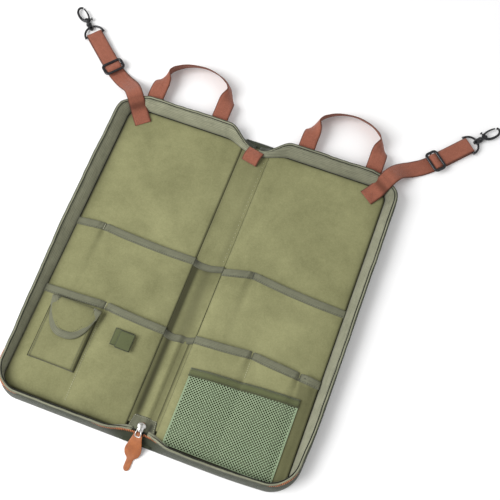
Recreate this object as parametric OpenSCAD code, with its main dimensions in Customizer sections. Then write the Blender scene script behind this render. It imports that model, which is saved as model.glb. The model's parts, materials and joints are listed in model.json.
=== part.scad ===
// Drum stick bag, opened flat on its back. Two padded halves fold up on a narrow spine
// and zip together round three sides. Inside are stick pockets, a flapped pouch, a key
// tab and a mesh pocket; outside are two carry handles and two hanging straps that end
// in swivel hooks. X runs across the bag, Y from the zip's end up to the handles.
// Every half is drawn on the +X side, growing outwards from the spine, and the left
// half is its mirror image.

/* [Bag] */
// Length of the bag along its spine
bag_l = 480; // [470:1:490]
// Width of the bag opened flat
bag_w = 440; // [430:1:450]
// Width of the spine between the two fold lines
spine_w = 44; // [44:1:48]
// Height of the side walls above the lining
wall_h = 20.3; // [18:0.1:20.3]
// Corner radius of the bag's outline
corner_r = 38; // [34:1:42]

/* [Fabric] */
// Thickness of the outer cloth
shell_t = 1.2; // [0.8:0.1:1.6]
// Thickness of the foam pad
pad_t = 3.6; // [3:0.1:4]
// Thickness of the lining cloth
lining_t = 1.2; // [0.8:0.1:1.4]
// Thickness of a pocket's cloth
pocket_t = 1; // [0.8:0.1:1]
// Free depth inside a pocket
pocket_gap = 4.8; // [4.6:0.1:5]
// Width of the tape that binds an edge
binding_w = 11; // [9:0.5:13]

/* [Webbing] */
// Width of the webbing
web_w = 25; // [24:0.5:26]
// Thickness of the webbing
web_t = 1.6; // [1.2:0.1:1.6]
// Spacing of a handle's two legs
handle_span = 104; // [96:1:110]
// Distance of a handle's middle from the spine
handle_x = 121; // [118:1:126]
// How far a handle's arch stands out past the bag
handle_reach = 88; // [80:1:92]
// Direction of the left hanging strap, measured from straight outwards
left_strap_turn = 41; // [40:0.5:43]
// Direction of the right hanging strap, measured from straight outwards
right_strap_turn = 48.5; // [47:0.5:50]
// Length of a hanging strap from its sewn end to the ring
strap_l = 180; // [176:1:190]
// Place of the left adjuster along its strap
left_glide_at = 110; // [104:1:124]
// Place of the right adjuster along its strap
right_glide_at = 121; // [104:1:124]

/* [Hook] */
// Wire radius of the swivel ring
ring_wire_r = 1.6; // [1.4:0.1:1.6]
// Radius of the hook's claw, to the middle of its section
claw_r = 8.4; // [8:0.1:9]
// Radius of the claw's section
claw_wire_r = 2.3; // [2.1:0.1:2.4]

/* [Hidden] */

// Colours
shell_green = "#3d4030";
lining_green = "#999b6e";
binding_green = "#80826f";
web_brown = "#b46e55";
leather_brown = "#c87346";
zip_copper = "#cd7846";
hook_black = "#26272a";
slider_silver = "#c9c9c6";
mesh_green = "#789670";
foam_grey = "#55564f";

// Heights of the flat panel's layers, from the back's outer face
stack_t = shell_t + pad_t + lining_t;
rim_z = stack_t + wall_h;
teeth_t = 1.2;
teeth_w = 2.4;
tape_t = 1;
tape_gap = 0.02;

// The fold lines, and the clearance on both sides of each
fold_x = spine_w / 2;
fold_gap = 0.3;
half_inner = fold_x + fold_gap;
half_l = bag_l / 2;
half_w = bag_w / 2;

// Outlines of a half as [outer x, low y, high y, corner radius]
base_line = [half_w, -half_l, half_l, corner_r];
rim_line = [half_w - 3, 7 - half_l, half_l, corner_r - 2];
seam_line = [half_w - 17, 21 - half_l, half_l - 14, corner_r - 22];
inner_rim_line = rim_line + [-1, 1, -1, -1] * teeth_w;
corner_steps = 7;

// The walls come down to the spine along this length
taper_l = 24;

// Pockets: levels of their front cloths, where their mouths are, and their divisions
upper_z = stack_t + pocket_gap + pocket_t;
lower_z = upper_z + pocket_gap + pocket_t;
upper_mouth_y = 27;
lower_mouth_y = -87;
upper_inner = fold_x + 4.5;
upper_outer = half_w - 20.5;
upper_low = 25 - half_l;
pocket_clear = 0.3;
left_upper_divisions = [163];
left_lower_divisions = [106];
right_upper_divisions = [66];
right_lower_divisions = [105, 174];
spine_pocket_w = spine_w - 4;
spine_pocket_low = 50 - half_l;

// Pouch on the left half
pouch_x = [111, 185];
pouch_y = [-182, -104];
pouch_gap = 4.6;
pouch_top = lower_z + pouch_gap + pocket_t;
flap_y = -99.6;
flap_reach = 47;
flap_t = 1.5;
flap_z = pouch_top + 0.3;

// Key tab on the left half
tab_x = [57, 84];
tab_y = [-131, -104];
tab_hinge_x = 75;
tab_t = 1.6;

// Mesh pocket on the right half
mesh_x = [33, 186];
mesh_low = 26 - half_l;
mesh_mouth_y = -119;
hem_w = 12;

// Tab at the spine's top end
top_tab_w = 24;
top_tab_y = half_l - 42;

// Zip's end on the spine: the patch's sides as distances from the bag's low end
patch_w = 20;
patch_foot = [12, 42];
patch_edge = [16, 32];
patch_rise = 5;
chain_z = stack_t + patch_rise + 1.9;
chain_w = 6;
chain_t = 1.4;
slider_y = 19.5 - half_l;
slider_l = 15;
slider_w = 10.6;
slider_h = 4.4;
pull_pin_r = 1;
pull_pin_y = slider_y - 5;
pull_pin_z = chain_z + 5.4;
pull_drop = 18;
pull_t = 2.2;
pull_l = 52;

// Handle: pivot above its sewn ends, and the arch's circle through its three points
handle_pivot_y = half_l + web_t + 1.4;
handle_pivot_z = 19;
handle_bend_y = half_l + 58;
handle_mid_z = 13.1;
arch_rise = half_l + handle_reach - handle_bend_y;
arch_r = (pow(handle_span / 2, 2) + pow(arch_rise, 2)) / (2 * arch_rise);
arch_t = 2.4;

// Strap: its sewn end's inner edge, and its levels along its own length
strap_x = 174;
strap_y = 206;
patch_l = 24;
strap_channel_w = web_w + 1.4;
channel_z = rim_z - 4.5;
crest_z = channel_z + 0.3;
strap_pivot_at = 46;
strap_pivot_z = crest_z + web_t / 2;
floor_at = 76;
ring_z = 4.9;
loop_r = ring_wire_r + 0.3;
strap_slot = 2 * loop_r;

// Adjuster, ring and hook, all centred at ring_z
glide_l = 20;
glide_rail = 2.6;
glide_side = web_w / 2 + 0.4;
glide_bar_r = 1.2;
ring_half = web_w / 2 + ring_wire_r + 0.8;
barrel_at = strap_l + ring_half - 1.9;
barrel_l = 5;
barrel_r = 4.2;
post_r = 1.9;
run_clear = 0.06;
claw_at = barrel_at + barrel_l + 19;
gate_pin_r = 1.1;
gate_angle = 150;
claw_end_angle = 62;

// Points of an arc, anticlockwise from angle a0 to a1
function arc_pts(cx, cy, r, a0, a1, n) =
    [for (i = [0:n]) let (a = a0 + (a1 - a0) * i / n) [cx + r * cos(a), cy + r * sin(a)]];

// Points of a half's outline from the fold outwards, drawn inset from a line
function plate_pts(line, inner, inset) =
    let (x = line[0] - inset, low = line[1] + inset, high = line[2] - inset, r = line[3] - inset)
    concat(
        [[inner, low]],
        arc_pts(x - r, low + r, r, -90, 0, corner_steps),
        arc_pts(x - r, high - r, r, 0, 90, corner_steps),
        [[inner, high]]
    );

// Points of a pocket's outline, with one round corner at its outer low end
function pocket_pts(inner, outer, low, top, r) =
    concat([[inner, low]], arc_pts(outer - r, low + r, r, -90, 0, corner_steps), [[outer, top], [inner, top]]);

module left() {
    mirror([1, 0, 0]) children();
}

module plate(line, z0, z1, inner = half_inner, inset = 0) {
    translate([0, 0, z0]) linear_extrude(z1 - z0) polygon(plate_pts(line, inner, inset));
}

// A solid that widens from one outline to another
module flare(low_line, low_z, high_line, high_z, inner, inset = 0) {
    sliver = 0.01;
    hull() {
        plate(low_line, low_z, low_z + sliver, inner, inset);
        plate(high_line, high_z - sliver, high_z, inner, inset);
    }
}

// Outline of the walls' leaning inner face at height z
function wall_line(z) = seam_line + (inner_rim_line - seam_line) * (z - stack_t) / wall_h;

// Space between the walls, inset from the zip tape's outer face
module wall_cavity(z0, z1, inner = 0, inset = 0) {
    flare(wall_line(z0), z0, wall_line(z1), z1, inner, inset);
}

// A profile in the XZ plane, drawn out along Y
module along_y(length) {
    rotate([90, 0, 0]) linear_extrude(length, center = true) children();
}

// What is cut away where the walls run down to the spine
module spine_taper() {
    above = rim_z + 10;
    along_y(bag_l + 20)
        polygon([[0, stack_t], [fold_x, stack_t], [fold_x + taper_l, rim_z], [fold_x + taper_l, above], [0, above]]);
}

// Frame of a hanging strap: X runs along it from the sewn end's inner edge
module on_strap(turn) {
    translate([strap_x, strap_y, 0]) rotate([0, 0, turn]) children();
}

// What the strap presses out of the corner wall
module strap_channel(turn) {
    above = rim_z + 10;
    on_strap(turn) along_y(strap_channel_w)
        polygon([[-4, stack_t], [25.5, stack_t], [33, channel_z], [70, channel_z], [70, above], [-4, above]]);
}

module outer_panel() {
    color(shell_green) plate(seam_line, 0, shell_t);
}

module foam_pad() {
    color(foam_grey) plate(seam_line, shell_t, shell_t + pad_t);
}

module lining() {
    color(lining_green) plate(seam_line, shell_t + pad_t, stack_t);
}

module gusset(turn) {
    color(shell_green) difference() {
        flare(base_line, 0, rim_line, rim_z, half_inner);
        plate(seam_line, -1, stack_t, 0);
        wall_cavity(stack_t - 1, rim_z + 1);
        spine_taper();
        strap_channel(turn);
    }
}

module zip_tape(turn) {
    color(binding_green) difference() {
        wall_cavity(stack_t, rim_z, half_inner, tape_gap);
        wall_cavity(stack_t - 1, rim_z + 1, 0, tape_t + tape_gap);
        spine_taper();
        on_strap(turn) translate([-4, -strap_channel_w / 2, 0]) cube([80, strap_channel_w, bag_l]);
    }
}

// Zip teeth along the rim, with a sloping run down to the spine at both ends
module zip_teeth(turn) {
    start = fold_x + taper_l;
    run = 0.75;
    slope = atan2(wall_h, taper_l);
    color(zip_copper) {
        difference() {
            plate(rim_line, rim_z, rim_z + teeth_t, start);
            plate(rim_line, rim_z - 1, rim_z + 2, 0, teeth_w);
            strap_channel(turn);
        }
        for (y = [rim_line[1], rim_line[2] - teeth_w])
            translate([start, y, rim_z]) rotate([0, 180 - slope, 0]) mirror([0, 0, 1])
                translate([teeth_t, 0, 0]) cube([run * taper_l, teeth_w, teeth_t]);
    }
}

// A pocket: a cloth front on low side walls, open towards the handles
module pocket(inner, outer, low, mouth, top_z, divisions, web_z) {
    edge = mouth - binding_w;
    corner = 14;
    color(lining_green) {
        difference() {
            translate([0, 0, stack_t]) linear_extrude(top_z - stack_t)
                polygon(pocket_pts(inner, outer, low, edge, corner));
            translate([0, 0, stack_t - 1]) linear_extrude(top_z - pocket_t - stack_t + 1)
                polygon(pocket_pts(inner + pocket_t, outer - pocket_t, low + pocket_t, edge + 1, corner - pocket_t));
        }
        for (x = divisions)
            translate([x - pocket_t / 2, low + pocket_t, web_z])
                cube([pocket_t, edge - low - pocket_t, top_z - pocket_t - web_z]);
    }
}

// Binding tape folded over a pocket's mouth
module mouth_binding(inner, outer, mouth, top_z) {
    proud = 0.3;
    color(binding_green)
        translate([inner, mouth - binding_w, top_z - pocket_t - proud])
            cube([outer - inner, binding_w, pocket_t + 2 * proud]);
}

module upper_pocket(divisions) {
    pocket(upper_inner, upper_outer, upper_low, upper_mouth_y, upper_z, divisions, stack_t);
}

module upper_binding() {
    mouth_binding(upper_inner, upper_outer, upper_mouth_y, upper_z);
}

module lower_pocket(divisions) {
    grow = pocket_t + pocket_clear;
    pocket(upper_inner - grow, upper_outer + grow, upper_low - grow, lower_mouth_y, lower_z, divisions, upper_z);
}

module lower_binding() {
    grow = pocket_t + pocket_clear;
    mouth_binding(upper_inner - grow, upper_outer + grow, lower_mouth_y, lower_z);
}

module spine_slab(y0, y1, z0, z1, width = spine_w - 2 * fold_gap) {
    translate([-width / 2, y0, z0]) cube([width, y1 - y0, z1 - z0]);
}

// The spine's outer cloth, turned up into a closed block at both ends
module spine_outer() {
    color(shell_green) {
        spine_slab(-half_l, half_l, 0, shell_t);
        spine_slab(-half_l, seam_line[1], shell_t, stack_t);
        spine_slab(seam_line[2], half_l, shell_t, stack_t);
    }
}

module spine_pad() {
    color(foam_grey) spine_slab(seam_line[1], seam_line[2], shell_t, shell_t + pad_t);
}

module spine_lining() {
    color(lining_green) spine_slab(seam_line[1], seam_line[2], shell_t + pad_t, stack_t);
}

module spine_upper_pocket() {
    color(lining_green) spine_slab(spine_pocket_low, upper_mouth_y, stack_t, stack_t + pocket_t, spine_pocket_w);
}

module spine_lower_pocket() {
    z = stack_t + pocket_t;
    color(lining_green) spine_slab(spine_pocket_low, lower_mouth_y, z, z + pocket_t, spine_pocket_w);
}

// Folded tab that covers the zip's top end
module top_tab() {
    color(web_brown) translate([-top_tab_w / 2, top_tab_y, stack_t]) cube([top_tab_w, top_tab_w, 2 * web_t]);
}

// Stitched patch that carries the zip's joined end
module zip_end_patch() {
    z = stack_t + patch_rise;
    color(binding_green) translate([0, -half_l, 0]) rotate([0, 0, 90]) along_y(patch_w) polygon([
        [patch_foot[1], stack_t], [patch_edge[1], z], [patch_edge[0], z], [patch_foot[0], stack_t]
    ]);
}

module zip_end_chain() {
    z = stack_t + patch_rise;
    color(zip_copper) {
        translate([-chain_w / 2, 6 - half_l, chain_z - chain_t / 2]) cube([chain_w, 27, chain_t]);
        translate([-chain_w / 2, 29 - half_l, z]) cube([chain_w, 4, chain_z - chain_t / 2 - z]);
    }
}

// Slider: a block with a channel for the chain, and a bridge that holds the pull's pin
module zip_slider() {
    post_w = 1.2;
    post_x = 2.8;
    color(slider_silver) {
        difference() {
            translate([-slider_w / 2, slider_y - slider_l / 2, chain_z - 1.5])
                cube([slider_w, slider_l, slider_h]);
            translate([-chain_w / 2 - 0.4, slider_y - slider_l, chain_z - chain_t / 2 - 0.3])
                cube([chain_w + 0.8, 2 * slider_l, chain_t + 0.6]);
        }
        for (s = [-1, 1])
            translate([s * (post_x + post_w / 2) - post_w / 2, pull_pin_y - 1.6, chain_z + slider_h - 1.6])
                cube([post_w, 3.2, 4.2]);
        translate([-post_x - 0.2, pull_pin_y, pull_pin_z]) rotate([0, 90, 0])
            cylinder(r = pull_pin_r, h = 2 * post_x + 0.4, $fn = 32);
    }
}

// Frame of the zip pull: X runs along it from the pin, outwards and down
module on_pull() {
    translate([0, pull_pin_y, pull_pin_z]) rotate([pull_drop, 0, 0]) rotate([0, 0, -90]) children();
}

module zip_pull_tab() {
    eye_w = 5;
    color(slider_silver) on_pull() difference() {
        union() {
            rotate([90, 0, 0]) cylinder(r = 2.2, h = eye_w, center = true, $fn = 32);
            translate([0, -eye_w / 2, -0.6]) cube([8, eye_w, 1.2]);
        }
        rotate([90, 0, 0]) cylinder(r = pull_pin_r + run_clear, h = eye_w + 2, center = true, $fn = 32);
    }
}

// Leather pull: a neck that widens to a disc, and a narrow rounded tail
module zip_pull() {
    disc_r = 11.5;
    disc_at = 26;
    tail_w = 7.6;
    neck_at = 8;
    color(leather_brown) on_pull() translate([0, 0, -pull_t / 2]) linear_extrude(pull_t) {
        polygon([[neck_at, -4], [disc_at - 4, -disc_r + 0.8], [disc_at - 4, disc_r - 0.8], [neck_at, 4]]);
        translate([disc_at, 0]) circle(r = disc_r, $fn = 48);
        translate([disc_at, -tail_w / 2]) square([pull_l - disc_at - tail_w / 2, tail_w]);
        translate([pull_l - tail_w / 2, 0]) circle(r = tail_w / 2, $fn = 32);
    }
}

// The two sewn ends of a handle, flat on the top wall's outer face
module handle_patches() {
    color(web_brown) for (s = [-1, 1])
        translate([handle_x + s * handle_span / 2 - web_w / 2, half_l, 3]) cube([web_w, web_t, 14.5]);
}

// A handle: two flat legs, and between them an arch of the same webbing turned on edge
module handle() {
    leg_drop = atan2(handle_pivot_z - handle_mid_z, handle_bend_y - handle_pivot_y);
    leg_l = (handle_bend_y + 3 - handle_pivot_y) / cos(leg_drop);
    roll_r = 1.1;
    color(web_brown) translate([handle_x, 0, 0]) {
        for (s = [-1, 1]) translate([s * handle_span / 2, handle_pivot_y, handle_pivot_z])
            rotate([-leg_drop, 0, 0]) {
                translate([-web_w / 2, 0, -web_t / 2]) cube([web_w, leg_l, web_t]);
                rotate([0, 90, 0]) cylinder(r = roll_r, h = web_w, center = true, $fn = 32);
            }
        translate([0, 0, handle_mid_z - web_w / 2]) linear_extrude(web_w) difference() {
            translate([0, half_l + handle_reach - arch_r]) circle(r = arch_r, $fn = 96);
            translate([0, half_l + handle_reach - arch_r]) circle(r = arch_r - arch_t, $fn = 96);
            translate([-arch_r - 1, handle_bend_y - 3 * arch_r]) square([2 * arch_r + 2, 3 * arch_r]);
        }
    }
}

// Sewn end of a strap, with the run that climbs the wall and lies over its rim
module strap_patch(turn) {
    top = crest_z + web_t;
    color(web_brown) on_strap(turn) along_y(web_w) polygon([
        [0, stack_t], [patch_l, stack_t], [32.6, crest_z], [strap_pivot_at - 1.6, crest_z],
        [strap_pivot_at - 1.6, top], [31.4, top], [patch_l - 0.8, stack_t + web_t], [0, stack_t + web_t]
    ]);
}

// The strap from the wall down to the floor, then double out to the ring
module strap(turn) {
    low = ring_z - loop_r - web_t;
    high = ring_z + loop_r;
    layer_at = left_glide_at - 24;
    color(web_brown) on_strap(turn) {
        along_y(web_w) {
            polygon([
                [strap_pivot_at + 0.4, strap_pivot_z - 0.9], [floor_at - 6, low], [strap_l, low],
                [strap_l, low + web_t], [floor_at - 4, low + web_t], [strap_pivot_at + 0.6, strap_pivot_z + 0.9]
            ]);
            translate([layer_at, high]) square([strap_l - layer_at, web_t]);
            translate([layer_at, low]) square([web_t, strap_slot + 2 * web_t]);
        }
        translate([strap_pivot_at, 0, strap_pivot_z]) rotate([90, 0, 0])
            cylinder(r = 1.1, h = web_w, center = true, $fn = 32);
        difference() {
            translate([strap_l, 0, ring_z]) rotate([90, 0, 0])
                cylinder(r = loop_r + web_t, h = web_w, center = true, $fn = 48);
            translate([strap_l, 0, ring_z]) rotate([90, 0, 0])
                cylinder(r = loop_r, h = web_w + 2, center = true, $fn = 48);
            translate([strap_l - 10, -web_w, 0]) cube([10, 2 * web_w, 12]);
        }
    }
}

// Adjuster: two side rails, two bars over the webbing and one bar between its layers
module tri_glide(turn, at) {
    top_z = ring_z + loop_r + web_t + 0.4;
    bar_t = 2;
    color(hook_black) on_strap(turn) translate([at, 0, 0]) {
        for (s = [-1, 1]) translate([-glide_l / 2, s * (glide_side + glide_rail / 2) - glide_rail / 2, ring_z - 2])
            cube([glide_l, glide_rail, top_z + bar_t - ring_z + 2]);
        for (x = [-glide_l / 2, glide_l / 2 - 3.4])
            translate([x, -glide_side, top_z]) cube([3.4, 2 * glide_side, bar_t]);
        translate([0, 0, ring_z]) rotate([90, 0, 0])
            cylinder(r = glide_bar_r, h = 2 * glide_side + 0.4, center = true, $fn = 32);
    }
}

// A straight round wire between two points in the strap's plane
module wire(a, b, r) {
    d = b - a;
    translate([a[0], a[1], ring_z]) rotate([0, 0, atan2(d[1], d[0])]) rotate([0, 90, 0])
        cylinder(r = r, h = norm(d), $fn = 32);
}

// D-shaped ring with the barrel in which the hook turns
module swivel_ring(turn) {
    head_room = 3.2;
    color(hook_black) on_strap(turn) difference() {
        union() {
            wire([strap_l, -ring_half - ring_wire_r], [strap_l, ring_half + ring_wire_r], ring_wire_r);
            translate([strap_l, 0, ring_z]) rotate([0, 0, -90])
                rotate_extrude(angle = 180, $fn = 64) translate([ring_half, 0]) circle(r = ring_wire_r, $fn = 32);
            translate([barrel_at, 0, ring_z]) rotate([0, 90, 0]) cylinder(r = barrel_r, h = barrel_l, $fn = 48);
        }
        translate([barrel_at - 5, 0, ring_z]) rotate([0, 90, 0])
            cylinder(r = post_r + run_clear, h = barrel_l + 10, $fn = 48);
        translate([barrel_at - head_room, 0, ring_z]) rotate([0, 90, 0])
            cylinder(r = 3.4, h = head_room, $fn = 48);
    }
}

// Where the gate's pin and the claw's open end are, from the claw's centre
function on_claw(angle, r = claw_r) = [claw_at + r * cos(angle), r * sin(angle)];

// Hook: a headed post, a neck and a round claw, with two ears that hold the gate's pin
module hook(turn) {
    pin = on_claw(gate_angle);
    ear_t = 1.4;
    ear_gap = 1.5;
    claw_start = gate_angle + 27;
    color(hook_black) on_strap(turn) {
        translate([barrel_at - 2.6, 0, ring_z]) rotate([0, 90, 0]) {
            cylinder(r = 2.9, h = 2.3, $fn = 48);
            cylinder(r = post_r, h = barrel_l + 4, $fn = 48);
        }
        translate([barrel_at + barrel_l + 0.3, 0, ring_z]) rotate([0, 90, 0])
            cylinder(r = 3.4, h = 8.8, $fn = 48);
        translate([claw_at, 0, ring_z]) rotate([0, 0, claw_start])
            rotate_extrude(angle = 360 + claw_end_angle - claw_start, $fn = 64)
                translate([claw_r, 0]) circle(r = claw_wire_r, $fn = 32);
        for (z = [ring_z - ear_gap - ear_t, ring_z + ear_gap]) translate([0, 0, z]) {
            translate([pin[0], pin[1]]) cylinder(r = 2.7, h = ear_t, $fn = 32);
            translate([pin[0] - 5, -2]) cube([6, pin[1] + 2, ear_t]);
        }
        translate([pin[0], pin[1], ring_z - 2]) cylinder(r = gate_pin_r, h = 4, $fn = 32);
    }
}

// Spring gate: an eye on the pin, a bar across the claw's mouth and a thumb knob
module hook_gate(turn) {
    pin = on_claw(gate_angle);
    tip = on_claw(claw_end_angle + 15);
    eye_h = 2.4;
    bar_r = 1;
    knob = [pin[0] - 1.5, pin[1] + 7];
    color(hook_black) on_strap(turn) difference() {
        union() {
            translate([pin[0], pin[1], ring_z - eye_h / 2]) cylinder(r = 2.5, h = eye_h, $fn = 32);
            wire(pin, tip, bar_r);
            wire(pin, knob, bar_r);
            translate([knob[0], knob[1], ring_z]) sphere(r = 2.4, $fn = 32);
        }
        translate([pin[0], pin[1], ring_z - 5]) cylinder(r = gate_pin_r + run_clear, h = 10, $fn = 32);
    }
}

// Small pouch sewn on the left lower pocket, open under its flap
module pouch_body() {
    color(lining_green) difference() {
        translate([pouch_x[0], pouch_y[0], lower_z])
            cube([pouch_x[1] - pouch_x[0], pouch_y[1] - pouch_y[0], pouch_top - lower_z]);
        translate([pouch_x[0] + pocket_t, pouch_y[0] + pocket_t, lower_z - 1])
            cube([pouch_x[1] - pouch_x[0] - 2 * pocket_t, pouch_y[1] - pouch_y[0], pouch_gap + 1]);
    }
}

// The pouch's flap, straight at its hinge and round at its free end
module pouch_flap() {
    mid = (pouch_x[0] + pouch_x[1]) / 2;
    width = pouch_x[1] - pouch_x[0] - 2;
    round_r = 24;
    color(lining_green) {
        translate([0, 0, flap_z]) linear_extrude(flap_t) {
            translate([mid - width / 2, flap_y - flap_reach + round_r]) square([width, flap_reach - round_r]);
            translate([mid - width / 2 + round_r, flap_y - flap_reach]) square([width - 2 * round_r, round_r]);
            for (s = [-1, 1])
                translate([mid + s * (width / 2 - round_r), flap_y - flap_reach + round_r])
                    circle(r = round_r, $fn = 48);
        }
        translate([mid, flap_y, flap_z + flap_t / 2]) rotate([0, 90, 0])
            cylinder(r = flap_t / 2, h = width, center = true, $fn = 32);
    }
}

// Webbing key tab: a sewn base, and a flap hinged on it that closes towards the spine
module key_tab_base() {
    color(shell_green)
        translate([tab_x[0] - 3, tab_y[0], lower_z]) cube([tab_x[1] - tab_x[0] + 3, tab_y[1] - tab_y[0], tab_t]);
}

module key_tab_flap() {
    z = lower_z + tab_t + 0.3;
    roll_r = tab_t / 2;
    color(shell_green) {
        translate([tab_x[0] - 4, tab_y[0], z]) cube([tab_hinge_x - tab_x[0] + 4, tab_y[1] - tab_y[0], tab_t]);
        translate([tab_hinge_x, (tab_y[0] + tab_y[1]) / 2, z + roll_r]) rotate([90, 0, 0])
            cylinder(r = roll_r, h = tab_y[1] - tab_y[0], center = true, $fn = 32);
    }
}

// Net pocket sewn on the right lower pocket
module mesh_pocket() {
    edge = mesh_mouth_y - hem_w;
    color(mesh_green) difference() {
        translate([mesh_x[0], mesh_low, lower_z])
            cube([mesh_x[1] - mesh_x[0], edge - mesh_low, pouch_top - lower_z]);
        translate([mesh_x[0] + pocket_t, mesh_low + pocket_t, lower_z - 1])
            cube([mesh_x[1] - mesh_x[0] - 2 * pocket_t, edge - mesh_low, pouch_gap + 1]);
    }
}

module mesh_hem() {
    proud = 0.3;
    color(shell_green) translate([mesh_x[0], mesh_mouth_y - hem_w, pouch_top - pocket_t])
        cube([mesh_x[1] - mesh_x[0], hem_w, pocket_t + proud]);
}

// Spine
spine_outer();
spine_pad();
spine_lining();
spine_upper_pocket();
spine_lower_pocket();
top_tab();
zip_end_patch();
zip_end_chain();
zip_slider();
zip_pull_tab();
zip_pull();

// Left half
left() outer_panel();  // left_outer_panel
left() foam_pad();  // left_foam_pad
left() lining();  // left_lining
left() gusset(left_strap_turn);  // left_gusset
left() zip_tape(left_strap_turn);  // left_zip_tape
left() zip_teeth(left_strap_turn);  // left_zip_teeth
left() upper_pocket(left_upper_divisions);  // left_upper_pocket
left() upper_binding();  // left_upper_binding
left() lower_pocket(left_lower_divisions);  // left_lower_pocket
left() lower_binding();  // left_lower_binding
left() handle_patches();  // left_handle_patches
left() handle();  // left_handle
left() strap_patch(left_strap_turn);  // left_strap_patch
left() strap(left_strap_turn);  // left_strap
left() tri_glide(left_strap_turn, left_glide_at);  // left_tri_glide
left() swivel_ring(left_strap_turn);  // left_swivel_ring
left() hook(left_strap_turn);  // left_hook
left() hook_gate(left_strap_turn);  // left_hook_gate
left() pouch_body();
left() pouch_flap();
left() key_tab_base();
left() key_tab_flap();

// Right half
outer_panel();  // right_outer_panel
foam_pad();  // right_foam_pad
lining();  // right_lining
gusset(right_strap_turn);  // right_gusset
zip_tape(right_strap_turn);  // right_zip_tape
zip_teeth(right_strap_turn);  // right_zip_teeth
upper_pocket(right_upper_divisions);  // right_upper_pocket
upper_binding();  // right_upper_binding
lower_pocket(right_lower_divisions);  // right_lower_pocket
lower_binding();  // right_lower_binding
handle_patches();  // right_handle_patches
handle();  // right_handle
strap_patch(right_strap_turn);  // right_strap_patch
strap(right_strap_turn);  // right_strap
tri_glide(right_strap_turn, right_glide_at);  // right_tri_glide
swivel_ring(right_strap_turn);  // right_swivel_ring
hook(right_strap_turn);  // right_hook
hook_gate(right_strap_turn);  // right_hook_gate
mesh_pocket();
mesh_hem();
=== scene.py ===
# A drum stick bag lying open on its back: padded halves, pockets, webbing and a zip
import bmesh
import bpy
import json
import math
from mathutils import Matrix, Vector, noise

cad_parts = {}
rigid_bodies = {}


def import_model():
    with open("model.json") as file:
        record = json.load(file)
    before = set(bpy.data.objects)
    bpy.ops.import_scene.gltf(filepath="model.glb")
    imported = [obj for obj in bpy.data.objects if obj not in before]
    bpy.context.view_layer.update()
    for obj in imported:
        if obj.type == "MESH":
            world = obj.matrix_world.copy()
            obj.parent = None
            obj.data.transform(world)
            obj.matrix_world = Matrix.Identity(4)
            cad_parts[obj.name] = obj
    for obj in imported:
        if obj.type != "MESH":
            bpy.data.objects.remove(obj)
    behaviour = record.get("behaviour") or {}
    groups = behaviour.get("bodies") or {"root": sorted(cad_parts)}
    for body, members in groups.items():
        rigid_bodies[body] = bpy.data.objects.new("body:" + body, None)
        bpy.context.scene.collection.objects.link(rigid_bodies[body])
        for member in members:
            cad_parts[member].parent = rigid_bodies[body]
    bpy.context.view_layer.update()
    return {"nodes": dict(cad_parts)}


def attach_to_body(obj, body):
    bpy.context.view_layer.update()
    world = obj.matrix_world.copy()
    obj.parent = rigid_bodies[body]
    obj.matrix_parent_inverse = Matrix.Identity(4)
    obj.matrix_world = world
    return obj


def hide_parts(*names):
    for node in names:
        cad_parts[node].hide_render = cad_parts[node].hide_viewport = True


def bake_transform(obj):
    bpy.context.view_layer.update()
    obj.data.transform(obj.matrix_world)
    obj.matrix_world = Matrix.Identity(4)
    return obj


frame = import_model()

cameraPlace = {"lens": 64.8, "sensor": 36, "target": (0.045, 0.072, 0), "distance": 1.292, "azimuth": 20.5,
    "elevation": 69.3}


def placeCamera(place):
    turn, lift = math.radians(place["azimuth"]), math.radians(place["elevation"])
    back = Vector((math.sin(turn) * math.cos(lift), -math.cos(turn) * math.cos(lift), math.sin(lift)))
    data = bpy.data.cameras.new("camera")
    data.lens, data.sensor_width = place["lens"], place["sensor"]
    camera = bpy.data.objects.new("camera", data)
    camera.location = Vector(place["target"]) + back * place["distance"]
    camera.rotation_euler = back.to_track_quat("Z", "Y").to_euler()
    bpy.context.scene.collection.objects.link(camera)
    bpy.context.scene.camera = camera


placeCamera(cameraPlace)
print("camera placed")

mm = 0.001


def mix(a, b, t):
    return a + (b - a) * t


def smooth(a, b, x):  # 0 before a, 1 after b
    t = min(1, max(0, (x - a) / (b - a)))
    return t * t * (3 - 2 * t)


def wobble(x, y, size, seed=0):  # soft noise from -1 to 1, with bumps about size mm wide
    return noise.noise(Vector((x / size, y / size, seed * 7.3)))


def bell(x, width):
    return math.exp(-(x / width) ** 2)


# materials


class Wire:  # one socket of a material, with arithmetic
    def __init__(self, tree, socket):
        self.tree, self.socket = tree, socket

    def node(self, kind, inputs=(), output=0, **settings):
        made = self.tree.nodes.new(kind)
        for name, value in settings.items():
            setattr(made, name, value)
        for name, value in dict(inputs).items():
            if isinstance(value, Wire):
                self.tree.links.new(value.socket, made.inputs[name])
            else:
                made.inputs[name].default_value = value
        return Wire(self.tree, made.outputs[output])

    def maths(self, operation, *others):
        return self.node("ShaderNodeMath", dict(enumerate((self,) + others)), operation=operation)

    def __add__(self, other): return self.maths("ADD", other)
    def __radd__(self, other): return self.maths("ADD", other)
    def __sub__(self, other): return self.maths("SUBTRACT", other)
    def __rsub__(self, other): return self.node("ShaderNodeMath", {0: other, 1: self}, operation="SUBTRACT")
    def __mul__(self, other): return self.maths("MULTIPLY", other)
    def __rmul__(self, other): return self.maths("MULTIPLY", other)
    def __truediv__(self, other): return self.maths("DIVIDE", other)
    def __rtruediv__(self, other): return self.node("ShaderNodeMath", {0: other, 1: self}, operation="DIVIDE")
    def __pow__(self, other): return self.maths("POWER", other)
    def __abs__(self): return self.maths("ABSOLUTE")


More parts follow.
